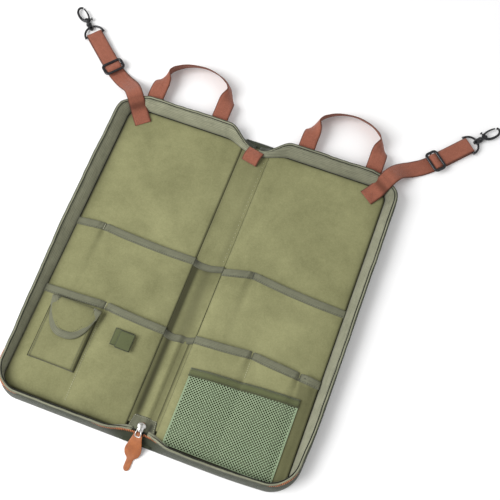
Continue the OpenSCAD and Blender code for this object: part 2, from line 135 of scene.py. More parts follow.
class Finish:  # a material being made, with its shader and coordinates at hand
    def __init__(self, name):
        self.material = bpy.data.materials.new(name)
        self.material.use_nodes = True
        self.tree = self.material.node_tree
        self.shader = self.tree.nodes["Principled BSDF"]
        places = self.tree.nodes.new("ShaderNodeTexCoord")
        self.place = Wire(self.tree, places.outputs["Object"])
        self.map = Wire(self.tree, places.outputs["UV"])

    def across(self):  # the two directions of the piece's own cloth, in mm
        parts = self.tree.nodes.new("ShaderNodeSeparateXYZ")
        self.tree.links.new(self.map.socket, parts.inputs[0])
        return Wire(self.tree, parts.outputs[0]), Wire(self.tree, parts.outputs[1])

    def cloud(self, scale, detail=3.0, rough=0.55):
        return self.place.node("ShaderNodeTexNoise", {"Vector": self.place, "Scale": scale, "Detail": detail,
            "Roughness": rough})

    def seam(self):  # painted shade from a point attribute: darker at seams, folds, grooves and under neighbouring parts
        return self.place.node("ShaderNodeAttribute", output=2, attribute_name="paintedShade")

    def colour(self, factor, low, high):
        return self.place.node("ShaderNodeMix", {0: factor, 6: low, 7: high}, 2, data_type="RGBA")

    def shade(self, socket, value):
        if isinstance(value, Wire):
            self.tree.links.new(value.socket, self.shader.inputs[socket])
        else:
            self.shader.inputs[socket].default_value = value

    def bump(self, height, strength, distance, under=None):
        inputs = {"Height": height, "Strength": strength, "Distance": distance}
        if under:
            inputs["Normal"] = under
        return self.place.node("ShaderNodeBump", inputs)


def ramped(wire, low, high):  # stretches low..high to 0..1
    return wire.node("ShaderNodeMapRange", {"Value": wire, "From Min": low, "From Max": high})


def plainWeave(finish, thread):  # height of a plain weave with threads this wide, in mm
    u, v = finish.across()
    turn = math.pi / thread
    warp = abs((u * turn).maths("SINE"))
    weft = abs((v * turn).maths("SINE"))
    over = ((u * turn).maths("COSINE") * (v * turn).maths("COSINE")) * 0.5 + 0.5
    return warp * over + weft * (1 - over)


clothLooks = {
    "liningCloth": {"dark": (0.158, 0.158, 0.068, 1), "light": (0.305, 0.302, 0.147, 1), "thread": 0.7, "rough": 0.82,
        "sheen": 0.15, "bump": 0.45},
    "outerCloth": {"dark": (0.022, 0.027, 0.014, 1), "light": (0.046, 0.053, 0.029, 1), "thread": 1.1, "rough": 0.86,
        "sheen": 0.2, "bump": 0.7},
    "gripCloth": {"dark": (0.075, 0.088, 0.034, 1), "light": (0.125, 0.14, 0.058, 1), "thread": 1.0, "rough": 0.8,
        "sheen": 0.2, "bump": 0.8},
}


def makeCloth(name, look):
    finish = Finish(name)
    weave = plainWeave(finish, look["thread"])
    broad, fine, worn = finish.cloud(11.0, 3.0), finish.cloud(420.0, 2.0), finish.cloud(48.0, 4.0, 0.65)
    seam = finish.seam()
    tone = ramped(broad * 0.75 + weave * 0.25 + fine * 0.3 + worn * 0.4, 0.6, 1.2)
    # painted shade: the cloth's tone darkens where the point attribute marks seams, folds and grooves
    tone = tone * (1 - seam * 0.7)
    base = finish.colour(tone, look["dark"], look["light"])
    red, green, blue, _ = look["dark"]
    # the colour of the deepest painted shadow
    paintedShadowColour = (red * 0.12, green * 0.115, blue * 0.07, 1)
    finish.shade("Base Color", finish.colour((seam * 0.85).maths("MINIMUM", 0.92), base, paintedShadowColour))
    finish.shade("Roughness", look["rough"] - weave * 0.12)
    finish.shade("Sheen Weight", look["sheen"])
    finish.shade("Sheen Roughness", 0.5)
    finish.shade("Specular IOR Level", 0.25)
    folds = finish.bump(finish.cloud(30.0, 4.0), 0.35, 0.005)
    finish.shade("Normal", finish.bump(weave * 0.8 + fine * 0.3, look["bump"], 0.0004, folds))
    return finish.material


cloth = {name: makeCloth(name, look) for name, look in clothLooks.items()}


def makeTape(name, dark, light, rib, bumpHeight):  # woven tape with ribs along its length
    finish = Finish(name)
    u, v = finish.across()
    ribs = abs((v * (math.pi / rib)).maths("SINE")) ** 0.6
    picks = abs((u * (math.pi / 0.9)).maths("SINE"))
    worn = finish.cloud(60.0, 4.0)
    streak = finish.cloud(160.0, 3.0)
    seam = finish.seam()
    drawn = finish.map.node("ShaderNodeVectorMath", {0: finish.map, 1: (0.03, 1.1, 1)}, operation="MULTIPLY")
    strands = finish.place.node("ShaderNodeTexNoise", {"Vector": drawn, "Scale": 1.0, "Detail": 4.0})
    tone = ramped(ribs * 0.35 + picks * 0.1 + worn * 0.35 + streak * 0.25 + strands * 0.7, 0.5, 1.25)
    base = finish.colour(tone, dark, light)
    # painted shade: the attribute darkens the tape toward a deep shadow colour
    finish.shade("Base Color", finish.colour(seam * 0.85, base, (dark[0] * 0.2, dark[1] * 0.2, dark[2] * 0.2, 1)))
    finish.shade("Roughness", 0.8 - ribs * 0.15)
    finish.shade("Sheen Weight", 0.15)
    finish.shade("Specular IOR Level", 0.3)
    finish.shade("Normal", finish.bump(ribs + picks * 0.35, 0.55, bumpHeight))
    return finish.material


tapeFinish = makeTape("zipTape", (0.085, 0.09, 0.055, 1), (0.36, 0.36, 0.25, 1), 2.6, 0.0009)
bindingFinish = makeTape("bindingTape", (0.07, 0.073, 0.044, 1), (0.185, 0.188, 0.122, 1), 1.9, 0.0005)


def makeWebbing(name, dark, light, edge):  # ribs across the webbing in a herringbone
    finish = Finish(name)
    u, v = finish.across()
    slant = abs((v * (math.pi / 6.25)).maths("SINE").maths("ARCSINE")) * 1.3
    rows = abs(((u + slant * 1.2) * (math.pi / 1.15)).maths("SINE"))
    cords = abs((v * (math.pi / 0.8)).maths("SINE"))
    worn, fuzz = finish.cloud(45.0, 4.0), finish.cloud(600.0, 2.0)
    rim = ramped(abs(v - 12.5), 10.6, 12.2)
    grit, crease = finish.cloud(330.0, 3.0, 0.7), finish.seam()
    tone = ramped(rows * 0.4 + cords * 0.2 + worn * 0.35 + fuzz * 0.2 + grit * 0.6, 0.6, 1.3)
    base = finish.colour(tone, dark, light)
    # rim darkens the webbing's own edges; the attribute adds painted shade where the strap climbs the wall
    finish.shade("Base Color", finish.colour((rim * 0.75 + crease * 0.8).maths("MINIMUM", 0.95), base, edge))
    finish.shade("Roughness", 0.78 - rows * 0.12)
    finish.shade("Sheen Weight", 0.1)
    finish.shade("Sheen Roughness", 0.4)
    finish.shade("Specular IOR Level", 0.3)
    finish.shade("Normal", finish.bump(rows * 0.8 + cords * 0.35 - rim * 0.5, 0.7, 0.0006))
    return finish.material


webbingFinish = makeWebbing("brownWebbing", (0.2, 0.062, 0.036, 1), (0.43, 0.15, 0.092, 1), (0.085, 0.024, 0.012, 1))


def makeMetal(name, base, worn, metallic, rough, coat):
    finish = Finish(name)
    scuffs, grain = finish.cloud(220.0, 6.0, 0.7), finish.cloud(1500.0, 2.0)
    marks = ramped(scuffs, 0.52, 0.68)
    finish.shade("Base Color", finish.colour(marks * 0.6, base, worn))
    finish.shade("Metallic", metallic)
    finish.shade("Roughness", rough + scuffs * 0.14 + marks * 0.08)
    finish.shade("Coat Weight", coat)
    finish.shade("Normal", finish.bump(scuffs * 0.4 + grain * 0.3, 0.15, 0.0002))
    return finish.material


blackMetal = makeMetal("blackMetal", (0.012, 0.012, 0.014, 1), (0.05, 0.05, 0.055, 1), 0.6, 0.26, 0.4)
sliderMetal = makeMetal("sliderMetal", (0.72, 0.71, 0.69, 1), (0.5, 0.49, 0.47, 1), 1.0, 0.22, 0.0)
copperMetal = makeMetal("copperTeeth", (0.5, 0.18, 0.075, 1), (0.24, 0.075, 0.03, 1), 0.55, 0.36, 0.0)


def makeLeather():
    finish = Finish("pullLeather")
    cells = finish.place.node("ShaderNodeTexVoronoi", {"Vector": finish.place, "Scale": 1100.0}, 0,
        feature="DISTANCE_TO_EDGE")
    broad = finish.cloud(120.0, 5.0)
    tone = ramped(broad * 0.8 + cells * 0.5, 0.3, 0.9)
    finish.shade("Base Color", finish.colour(tone, (0.25, 0.07, 0.016, 1), (0.5, 0.165, 0.047, 1)))
    finish.shade("Roughness", 0.52 - tone * 0.12)
    finish.shade("Specular IOR Level", 0.45)
    finish.shade("Normal", finish.bump(ramped(cells, 0.0, 0.12) * 0.6 + broad * 0.5, 0.35, 0.0003))
    return finish.material


leatherFinish = makeLeather()


def makeThread(name, dark, light):
    finish = Finish(name)
    twist = finish.place.node("ShaderNodeTexWave", {"Vector": finish.place, "Scale": 900.0, "Distortion": 1.5}, 1,
        bands_direction="DIAGONAL")
    tone = ramped(twist * 0.5 + finish.cloud(800.0) * 0.6, 0.2, 0.9)
    finish.shade("Base Color", finish.colour(tone, dark, light))
    finish.shade("Roughness", 0.7 - tone * 0.1)
    finish.shade("Sheen Weight", 0.2)
    finish.shade("Normal", finish.bump(twist, 0.4, 0.0002))
    return finish.material


threads = {
    "green": makeThread("greenThread", (0.1, 0.11, 0.055, 1), (0.18, 0.19, 0.11, 1)),
    "dark": makeThread("darkThread", (0.022, 0.025, 0.015, 1), (0.06, 0.065, 0.04, 1)),
    "pale": makeThread("paleThread", (0.36, 0.36, 0.24, 1), (0.52, 0.52, 0.38, 1)),
    "brown": makeThread("brownThread", (0.2, 0.06, 0.035, 1), (0.36, 0.12, 0.07, 1)),
    "net": makeThread("netThread", (0.13, 0.2, 0.1, 1), (0.5, 0.62, 0.4, 1)),
    "tape": makeThread("tapeThread", (0.13, 0.14, 0.09, 1), (0.22, 0.23, 0.16, 1)),
}
print("materials made")


# mesh helpers


def addObject(name, data, material=None):
    made = bpy.data.objects.new(name, data)
    bpy.context.scene.collection.objects.link(made)
    if material:
        data.materials.append(material)
    return made


def meshFrom(name, points, faces, maps, material, shades=None):
    data = bpy.data.meshes.new(name)
    data.from_pydata([Vector(p) * mm for p in points], [], faces)
    layer = data.uv_layers.new(name="cloth")
    for loop in data.loops:
        layer.data[loop.index].uv = maps[loop.vertex_index]
    if shades:
        # each point's painted shade, which the materials turn into darker colour
        attribute = data.attributes.new("paintedShade", "FLOAT", "POINT")
        attribute.data.foreach_set("value", [min(1, max(0, s)) for s in shades])
    data.polygons.foreach_set("use_smooth", [True] * len(data.polygons))
    data.update()
    return addObject(name, data, material)


def gridParts(rows, loop=False):
    wide = len(rows[0])
    faces = []
    for i in range(len(rows) - 1):
        for j in range(wide if loop else wide - 1):
            a, b = i * wide + j, i * wide + (j + 1) % wide
            faces.append((a, b, b + wide, a + wide))
    maps, along = [], 0.0
    for i, row in enumerate(rows):
        if i:
            middle = wide // 2
            along += (Vector(row[middle]) - Vector(rows[i - 1][middle])).length
        across = 0.0
        for j, point in enumerate(row):
            if j:
                across += (Vector(point) - Vector(row[j - 1])).length
            maps.append((along, across))
    return faces, maps


def gridPiece(name, rows, material, shades=None, loop=False, capped=False):
    # rows run along the piece, and each row crosses it
    faces, maps = gridParts(rows, loop)
    points = [p for row in rows for p in row]
    if capped:
        wide = len(rows[0])
        faces.append(tuple(reversed(range(wide))))
        faces.append(tuple(len(points) - wide + j for j in range(wide)))
    return meshFrom(name, points, faces, maps, material, shades and [s for row in shades for s in row])


def reworked(piece, merge=0.0, outward=False, flipped=False):  # welds, turns out or flips the faces
    work = bmesh.new()
    work.from_mesh(piece.data)
    if merge:
        bmesh.ops.remove_doubles(work, verts=work.verts, dist=merge)
    if outward:
        bmesh.ops.recalc_face_normals(work, faces=work.faces)
    if flipped:
        bmesh.ops.reverse_faces(work, faces=work.faces)
    work.to_mesh(piece.data)
    work.free()
    return piece


def outwards(piece):  # makes a closed piece's faces point out
    return reworked(piece, merge=1e-6, outward=True)


def settle(piece):  # turns live modifiers into the piece's own mesh
    bpy.context.view_layer.update()
    made = bpy.data.meshes.new_from_object(piece.evaluated_get(bpy.context.evaluated_depsgraph_get()))
    made.name = piece.name
    materials = [m for m in piece.data.materials if m]
    piece.modifiers.clear()
    if piece.type == "MESH":
        piece.data = made
        finished = piece
    else:
        name, old = piece.name, piece
        bpy.data.objects.remove(old)
        finished = addObject(name, made)
    if not finished.data.materials:
        for m in materials:
            finished.data.materials.append(m)
    return finished


def thicken(piece, thickness, offset=-1.0):
    solid = piece.modifiers.new("thickness", "SOLIDIFY")
    solid.thickness, solid.offset, solid.use_even_offset = thickness * mm, offset, False
    return settle(piece)


def upwards(piece, way=Vector((0, 0, 1))):  # a single sheet's faces point this way on the whole
    backwards = sum(p.normal.dot(way) * p.area for p in piece.data.polygons) < 0
    return reworked(piece, flipped=True) if backwards else piece


def sheetArea(piece):
    return sum(p.area for p in piece.data.polygons)


def clothSheet(name, rows, material, thickness, flat, shades=None):
    piece = upwards(gridPiece(name, rows, material, shades))
    area = min(sheetArea(piece), flat[0] * flat[1])
    piece = thicken(piece, thickness)
    return piece


def ribbonRows(points, widths, width):
    # rows across a strip of webbing: points down its middle, and its width direction at each
    rows = []
    for k, point in enumerate(points):
        before, after = points[max(0, k - 1)], points[min(len(points) - 1, k + 1)]
        along = (after - before).normalized()
        side = widths[k] - along * widths[k].dot(along)
        side.normalize()
        rows.append([point + side * width * (j / 6 - 0.5) for j in range(7)])
    return rows


def spline(knots, steps):  # a smooth curve through the knots
    made = []
    for k in range(len(knots) - 1):
        a, b = knots[max(0, k - 1)], knots[k]
        c, d = knots[k + 1], knots[min(len(knots) - 1, k + 2)]
        for s in range(steps):
            t = s / steps
            bend, twist = 2 * a - 5 * b + 4 * c - d, 3 * b - a - 3 * c + d
            made.append(0.5 * ((2 * b) + (c - a) * t + bend * t * t + twist * t ** 3))
    return made + [knots[-1].copy()]


def tube(name, path, radius, material, sides=10, closed=False, flatten=1.0):
    rows = []
    total = len(path)
    for k in range(total):
        before = path[(k - 1) % total] if closed else path[max(0, k - 1)]
        after = path[(k + 1) % total] if closed else path[min(total - 1, k + 1)]
        along = (after - before).normalized()
        side = along.cross(Vector((0, 0, 1)))
        side = side.normalized() if side.length > 0.05 else Vector((1, 0, 0))
        up = side.cross(along).normalized()
        r = radius(k / (total - 1)) if callable(radius) else radius
        angles = [2 * math.pi * j / sides for j in range(sides)]
        rows.append([path[k] + side * r * math.cos(a) + up * r * flatten * math.sin(a) for a in angles])
    if closed:
        rows.append(rows[0])
    return outwards(gridPiece(name, rows, material, loop=True, capped=not closed))


def joined(name, parts):
    for other in bpy.context.view_layer.objects:
        other.select_set(False)
    for part in parts:
        part.select_set(True)
    bpy.context.view_layer.objects.active = parts[0]
    bpy.ops.object.join()
    made = bpy.context.view_layer.objects.active
    made.name = made.data.name = name
    made.select_set(False)
    return made


# Geometry Nodes for what repeats


def startTree(name, numbers):  # a tree that takes a path and these numbers
    tree = bpy.data.node_groups.new(name, "GeometryNodeTree")
    tree.interface.new_socket("Path", in_out="INPUT", socket_type="NodeSocketGeometry")
    for label in numbers:
        kind = "NodeSocketInt" if label == "Seed" else "NodeSocketFloat"
        tree.interface.new_socket(label, in_out="INPUT", socket_type=kind)
    tree.interface.new_socket("Result", in_out="OUTPUT", socket_type="NodeSocketGeometry")
    start = tree.nodes.new("NodeGroupInput")
    return {label: Wire(tree, start.outputs[label]) for label in ("Path", *numbers)}


def endTree(shape, material, even=True):
    shape = shape.node("GeometryNodeRealizeInstances", {"Geometry": shape})
    if even:
        shape = shape.node("GeometryNodeSetShadeSmooth", {"Geometry": shape})
    shape = shape.node("GeometryNodeSetMaterial", {"Geometry": shape, "Material": material})
    end = shape.tree.nodes.new("NodeGroupOutput")
    shape.tree.links.new(shape.socket, end.inputs["Result"])
    return shape.tree


def repeatTree(name, shape, material):
    # places one small shape at even steps along every spline of a curve
    given = startTree(name, ("Step", "Length", "Width", "Height", "Seed"))
    path = given["Path"]
    points = path.node("GeometryNodeCurveToPoints", {"Curve": path, "Length": given["Step"]}, mode="LENGTH")
    turns = Wire(path.tree, points.socket.node.outputs["Rotation"])
    if shape == "stitch":
        piece = path.node("GeometryNodeMeshUVSphere", {"Segments": 6, "Rings": 5, "Radius": 0.5})
    else:
        piece = path.node("GeometryNodeMeshCylinder", {"Vertices": 8, "Radius": 0.5, "Depth": 1.0})
    size = path.node("ShaderNodeCombineXYZ", {0: given["Width"], 1: given["Height"], 2: given["Length"]})
    vary = path.node("FunctionNodeRandomValue", {2: 0.9, 3: 1.06, "Seed": given["Seed"]}, 1, data_type="FLOAT")
    scaled = path.node("ShaderNodeVectorMath", {0: size, "Scale": vary}, operation="SCALE")
    inputs = {"Points": points, "Instance": piece, "Rotation": turns, "Scale": scaled}
    return endTree(path.node("GeometryNodeInstanceOnPoints", inputs), material)


def netTree(material):  # gives the net's strands their round section
    given = startTree("netStrands", ("Thickness",))
    path = given["Path"]
    section = path.node("GeometryNodeCurvePrimitiveCircle", {"Resolution": 5, "Radius": given["Thickness"]})
    inputs = {"Curve": path, "Profile Curve": section, "Fill Caps": True}
    return endTree(path.node("GeometryNodeCurveToMesh", inputs), material, even=False)


def curveFrom(name, paths, tilts=None):
    data = bpy.data.curves.new(name, "CURVE")
    data.dimensions, data.twist_mode = "3D", "Z_UP"
    for p, path in enumerate(paths):
        line = data.splines.new("POLY")
        line.points.add(len(path) - 1)
        for k, point in enumerate(path):
            line.points[k].co = (*(Vector(point) * mm), 1)
            if tilts:
                line.points[k].tilt = tilts[p][k]
    return addObject(name, data)


def grown(name, curve, tree, values):  # the finished plain mesh of a tree on a curve
    changer = curve.modifiers.new("grow", "NODES")
    changer.node_group = tree
    for item in tree.interface.items_tree:
        if item.in_out == "INPUT" and item.name in values:
            changer[item.identifier] = values[item.name]
    made = settle(curve)
    made.name = made.data.name = name
    return made


stitchTrees = {name: repeatTree("stitches" + name.capitalize(), "stitch", threads[name])
    for name in ("green", "dark", "pale", "brown", "tape")}
teethTree = repeatTree("zipTeeth", "tooth", copperMetal)


def stitch(step, length, width, height, seed):  # sizes in mm
    return {"Step": step * mm, "Length": length * mm, "Width": width * mm, "Height": height * mm, "Seed": seed}


stitchSizes = {
    "usual": stitch(3.1, 2.3, 0.62, 0.55, 4), "binding": stitch(3.4, 2.3, 0.9, 0.5, 1),
    "strap": stitch(2.9, 2.1, 0.7, 0.6, 2), "tack": stitch(1.2, 1.2, 1.3, 0.7, 5), "spine": stitch(6.6, 2.0, 0.5,
        0.4, 7), "zipEnd": stitch(2.6, 1.8, 0.6, 0.5, 6),
    "pull": stitch(2.6, 1.8, 0.5, 0.4, 3), "teeth": stitch(2.4, 1.5, 3.6, 1.8, 3), "endTeeth": stitch(2.4, 1.6, 4.6, 1.6, 2),
}


def sew(name, body, colour, paths, size="usual"):  # rows of stitches on one body
    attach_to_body(grown(name, curveFrom(name + "Rows", paths), stitchTrees[colour], stitchSizes[size]), body)


def attach(piece, body, slot, *nodes):  # the nodes it stands for, which it hides, and its body; slot is not used
    if nodes:
        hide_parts(*nodes)
    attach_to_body(piece, body)


# the bag's outlines, in mm, with the right half's numbers; side is -1 or 1

bag = {
    "stack": 6, "rimZ": 26.3,
    "base": (220, -240, 240, 38), "rim": (217, -233, 240, 36), "seam": (203.5, -230, 226, 20),
    "edgeSteps": 44, "cornerSteps": 12, "sideSteps": 70,
}
seamX = 21.2  # where a half's lining and pockets start, beside the spine
strapTurn = {-1: 41, 1: 48.5}
glideAt = {-1: 110, 1: 121}
strapStart = (174, 206)
names = {-1: "left", 1: "right"}


def strapPoint(side, u, v, z):
    turn = math.radians(strapTurn[side])
    x = strapStart[0] + u * math.cos(turn) - v * math.sin(turn)
    y = strapStart[1] + u * math.sin(turn) + v * math.cos(turn)
    return Vector((side * x, y, z))


def strapPlace(side, x, y):  # along and across the strap, of a point with positive x
    turn = math.radians(strapTurn[side])
    dx, dy = x - strapStart[0], y - strapStart[1]
    return dx * math.cos(turn) + dy * math.sin(turn), dy * math.cos(turn) - dx * math.sin(turn)


def strapSway(side, u):  # how far the strap bends sideways, in mm
    places = {
        -1: ((0, -2.8), (12, -0.6), (20, 1), (30, 3.2), (39, 5.0), (50, 6.8), (62, 7.2), (75, 5.4), (90, 2.6), (105, 0.7),
            (118, 0), (300, 0)),
        1: ((-3, -2.5), (10, -1.2), (20, 0.2), (30, 1.8), (39, 3.4), (50, 6), (62, 8.2), (75, 8.2), (90, 5), (105, 2),
            (118, 0.3), (130, 0), (300, 0)),
    }[side]
    for (a, va), (b, vb) in zip(places, places[1:]):
        if u <= b:
            return mix(va, vb, min(1, max(0, (u - a) / (b - a))))
    return 0.0


def zipShows(side, x, y):  # 1 where the copper teeth can be seen outside the tape
    if y > -150:
        return 0.0
    if side < 0:
        return mix(0.55, 1, max(bell(x - 205, 26), bell(x - 14, 40))) * smooth(-165, -195, y)
    return max(bell(math.hypot(x - 205, y + 222), 34), bell(x - 12, 26), 0.05)


def edgeLoop(line, inner):
    # the half's open outline, from the spine along the low edge, up the side and back
    x, low, high, r = line
    pts = [(mix(inner, x - r, i / bag["edgeSteps"]), low) for i in range(bag["edgeSteps"])]
    for i in range(bag["cornerSteps"] + 1):
        a = math.radians(-90 + 90 * i / bag["cornerSteps"])
        pts.append((x - r + r * math.cos(a), low + r + r * math.sin(a)))
    pts += [(x, mix(low + r, high - r, i / bag["sideSteps"])) for i in range(1, bag["sideSteps"])]
    for i in range(bag["cornerSteps"] + 1):
        a = math.radians(90 * i / bag["cornerSteps"])
        pts.append((x - r + r * math.cos(a), high - r + r * math.sin(a)))
    pts += [(mix(x - r, inner, i / bag["edgeSteps"]), high) for i in range(1, bag["edgeSteps"] + 1)]
    return pts


def sideX(line, y):  # the outline's x at a height y
    x, low, high, r = line
    for edge, centre in ((low, low + r), (high, high - r)):
        if (y - centre) * (edge - centre) > 0:
            return x - r + math.sqrt(max(0, r * r - (y - centre) ** 2))
    return x


wallShape = {"lowEndZ": 12.6, "highEndZ": 9.0, "lowEndY": -223.5, "highEndY": 221, "channel": 5.4}


def slump(side, x, y):  # how far the walls lean in at the low corners, in mm
    if side < 0:
        return Vector((-7.5 * smooth(40, -215, y) * smooth(150, 200, x), 0, 0))
    corner = bell(math.hypot(x - 217, y + 233), 62)
    return Vector((-6 * corner, 5 * corner, 0))


def wallPoints(side):
    # base, rim and seam of the wall at every step round the half, with the outward direction
    base, rim, seam = (edgeLoop(bag[k], 3) for k in ("base", "rim", "seam"))
    made = []
    for i, ((bx, by), (rx, ry), (sx, sy)) in enumerate(zip(base, rim, seam)):
        low = smooth(10, 52, rx) if ry < -200 and rx < 60 else 1
        high = smooth(7, 50, rx) if ry > 200 and rx < 66 else 1
        ry = mix(wallShape["lowEndY"], ry, low) if low < 1 else ry
        ry = mix(wallShape["highEndY"], ry, high) if high < 1 else ry
        sy = mix(-217.5, sy, low) if low < 1 else sy
        sy = mix(213.5, sy, high) if high < 1 else sy
        by = mix(234.5, by, smooth(5, 60, bx)) if by > 200 and bx < 60 else by
        rz = mix(wallShape["lowEndZ"], bag["rimZ"], low) if low < 1 else mix(wallShape["highEndZ"], bag["rimZ"], high)
        along, across = strapPlace(side, rx, ry)
        if along > 0:
            rz -= wallShape["channel"] * (1 - smooth(12.5, 24, abs(across - strapSway(side, along))))
        before, after = rim[max(0, i - 1)], rim[min(len(rim) - 1, i + 1)]
        out = Vector((after[1] - before[1], before[0] - after[0], 0)).normalized()
        loose = 0.9 * wobble(i * 5.0, 0, 34, side) + 0.5 * wobble(i * 5.0, 0, 11, side + 5)
        rz += 0.8 * loose * low * high
        shift = out * loose * 0.8 * low * high
        lean = slump(side, rx, ry)
        made.append({
            "base": Vector((bx, by, 0)) + lean * 0.9, "rim": Vector((rx, ry, rz)) + shift + lean,
            "seam": Vector((sx, sy, bag["stack"] + 0.3)), "out": out,
            "flop": 1 - smooth(-205, -170, ry), "bare": zipShows(side, rx, ry),
        })
    return made


def flip(side, point):
    return Vector((side * point.x, point.y, point.z))


walls = {side: wallPoints(side) for side in (-1, 1)}


def foldBlend(piece):
    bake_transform(piece)


# outer cloth


def makeShell(side):
    name = names[side]
    wall = walls[side]
    rows, shades = [], []
    for i, w in enumerate(wall):
        base, rim, out = w["base"], w["rim"], w["out"]
        row = []
        for k, t in enumerate((0, 0.12, 0.3, 0.5, 0.7, 0.86, 1.0)):
            point = base.lerp(rim, t) + out * (2.2 * math.sin(math.pi * min(1, t * 1.15)) * 0.7 - 1.0 * (t == 1.0))
            point.z += 0.25 if t == 0 else 0
            point += out * 0.7 * wobble(i * 5.0, k * 9.0, 26, side + 11) * math.sin(math.pi * t)
            row.append(flip(side, point))
        inset = base - out * 4
        rows.append([flip(side, Vector((inset.x, inset.y, 0.05)))] + row)
        # painted shade along the wall's top, under the tape's roll
        shades.append([0, 0, 0, 0, 0, 0, 0.3, 0.9])
    wallPart = gridPiece(name + "ShellWall", rows, cloth["outerCloth"], shades)
    floorRows = []
    loop = [Vector((w["base"].x, w["base"].y, 0)) - w["out"] * 4 for w in wall]
    corner = bag["edgeSteps"]
    column = loop[corner:len(loop) - bag["edgeSteps"]]
    for point in column:
        across = [mix(3, point.x, j / 30) for j in range(31)]
        floorRows.append([Vector((side * x, point.y, 0.05 + 0.35 * abs(wobble(x, point.y, 45, side + 2)))) for x in across])
    floorPart = gridPiece(name + "ShellFloor", floorRows, cloth["outerCloth"], [[0.0] * 31 for _ in floorRows])
    piece = joined(name + "OuterShell", [upwards(wallPart, Vector((side, 0, 0))), upwards(floorPart, Vector((0, 0, -1)))])
    piece = thicken(reworked(piece, merge=0.0011), 1.0)
    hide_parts(name + "_outer_panel", name + "_gusset")
    foldBlend(piece)
    return piece


for side in (-1, 1):
    makeShell(side)
print("outer shells made")


# zip tape, piping and teeth round each half's rim


def makeTapeBand(side):
    name = names[side]
    rows, shades = [], []
    for i, w in enumerate(walls[side]):
        seam, rim, out = w["seam"], w["rim"], w["out"]
        if rim.y < 0 and rim.x < 8:  # the tape stops beside the slider
            continue
        lean = (rim - seam)
        up = Vector((0, 0, 1))
        row, shade = [], []
        corner = smooth(150, 195, abs(rim.x)) * smooth(150, 215, abs(rim.y))
        for t in (0, 0.06, 0.2, 0.4, 0.6, 0.8, 0.93, 1.0):
            crease = 1.1 * corner * math.sin(i * 2.1) * math.sin(math.pi * t)
            soft = 0.7 * wobble(i * 5.0, t * 20, 18, side + 21) * math.sin(math.pi * t)
            point = seam + lean * t + (up * 0.8 - out * 0.45) * (1.6 * math.sin(math.pi * t) + crease + soft)
            row.append(point)
            # painted shade: a dark line at the tape's inner edge and darker folds at the corners
            shade.append(1.0 * (1 - smooth(0, 0.09, t)) + 0.12 * corner * max(0, math.sin(i * 2.1)))
        flop = w["flop"]
        row += [rim + out * 0.9 + up * 0.4, rim + out * 1.7 + up * mix(-0.4, 0.2, flop)]
        row.append(rim + out * mix(1.8, 2.8, flop) + up * mix(-1.9, -0.4, flop))
        # painted shade on the tape's roll, darkest where it turns down outside
        shade += [0.05, 0.3, 0.7]
        rows.append([flip(side, p) for p in row])
        # painted shade: the tape along the right half's top edge is darker, where the light falls off
        away = 0.28 * smooth(190, 215, rim.y) * (side > 0)
        shades.append([s + away for s in shade])
    piece = upwards(gridPiece(name + "ZipTape", rows, tapeFinish, shades))
    piece = thicken(piece, 0.9)
    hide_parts(name + "_zip_tape")
    foldBlend(piece)
    up = Vector((0, 0, 1))
    clear = [w for w in walls[side] if w["rim"].x > 7 or w["rim"].y > 0]
    path = [flip(side, w["rim"] + w["out"] * mix(1.9, 2.4, w["bare"]) + up * mix(-1.3, -3.4, w["bare"])) for w in clear]
    piping = tube(name + "RimPiping", path, 1.2, cloth["outerCloth"], 8)
    foldBlend(piping)
    rowPath = [flip(side, w["rim"] + w["out"] * mix(0.2, 2.7, w["bare"]) + up * mix(-3.2, -1.1, w["bare"])) for w in clear]
    tilts = [side * mix(math.radians(80), math.radians(35), w["bare"]) for w in clear]
    curve = curveFrom(name + "TeethRow", [rowPath], [tilts])
    teeth = grown(name + "ZipTeeth", curve, teethTree, stitchSizes["teeth"])
    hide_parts(name + "_zip_teeth")
    foldBlend(teeth)


for side in (-1, 1):
    makeTapeBand(side)
print("zip tape and teeth made")


# padded linings

lining = {"columns": 46, "rows": 96, "edgeZ": 4.6, "crown": 1.5}


def pillowPiece(name, top, shades, lowZ, material):
    # a closed pad with this top surface and a flat underside
    tall, wide = len(top), len(top[0])
    points = [p for row in top for p in row]
    under = [Vector((p.x, p.y, lowZ)) for p in points]
    faces, maps = gridParts(top)
    shift = len(points)
    faces += [tuple(shift + k for k in reversed(f)) for f in faces]
    border = [j for j in range(wide)] + [i * wide + wide - 1 for i in range(1, tall)]
    border += [(tall - 1) * wide + j for j in range(wide - 2, -1, -1)] + [i * wide for i in range(tall - 2, 0, -1)]
    for k, a in enumerate(border):
        b = border[(k + 1) % len(border)]
        faces.append((b, a, a + shift, b + shift))
    flatShades = [s for row in shades for s in row]
    return outwards(meshFrom(name, points + under, faces, maps + maps, material, flatShades + flatShades))


def liningTop(side, x, y):
    line = bag["seam"]
    toEdge = min(sideX(line, y) - x, y - line[1], line[2] - y)
    toSeam = x - seamX
    puff = 1 - math.exp(-max(0, toEdge) / 7)
    puff *= 1 - (0.7 if side < 0 else 0.25) * math.exp(-max(0, toSeam) / 4)
    loose = 0.75 * wobble(x, y, 75, side) + 0.3 * wobble(x + 0.5 * y, y, 24, side + 3)
    # painted shade: dark in the crevice at the outer edge, along the fold by the spine (much stronger on the left half)
    # and toward the walls
    shade = 0.9 * math.exp(-max(0, toEdge) / 1.3) + (0.8 if side < 0 else 0.12) * math.exp(-max(0, toSeam) / 0.9)
    shade += 0.22 * math.exp(-max(0, sideX(line, y) - x) / 9) + 0.1 * math.exp(-max(0, toSeam) / 14) * (side < 0)
    return lining["edgeZ"] + (lining["crown"] + loose) * puff, shade


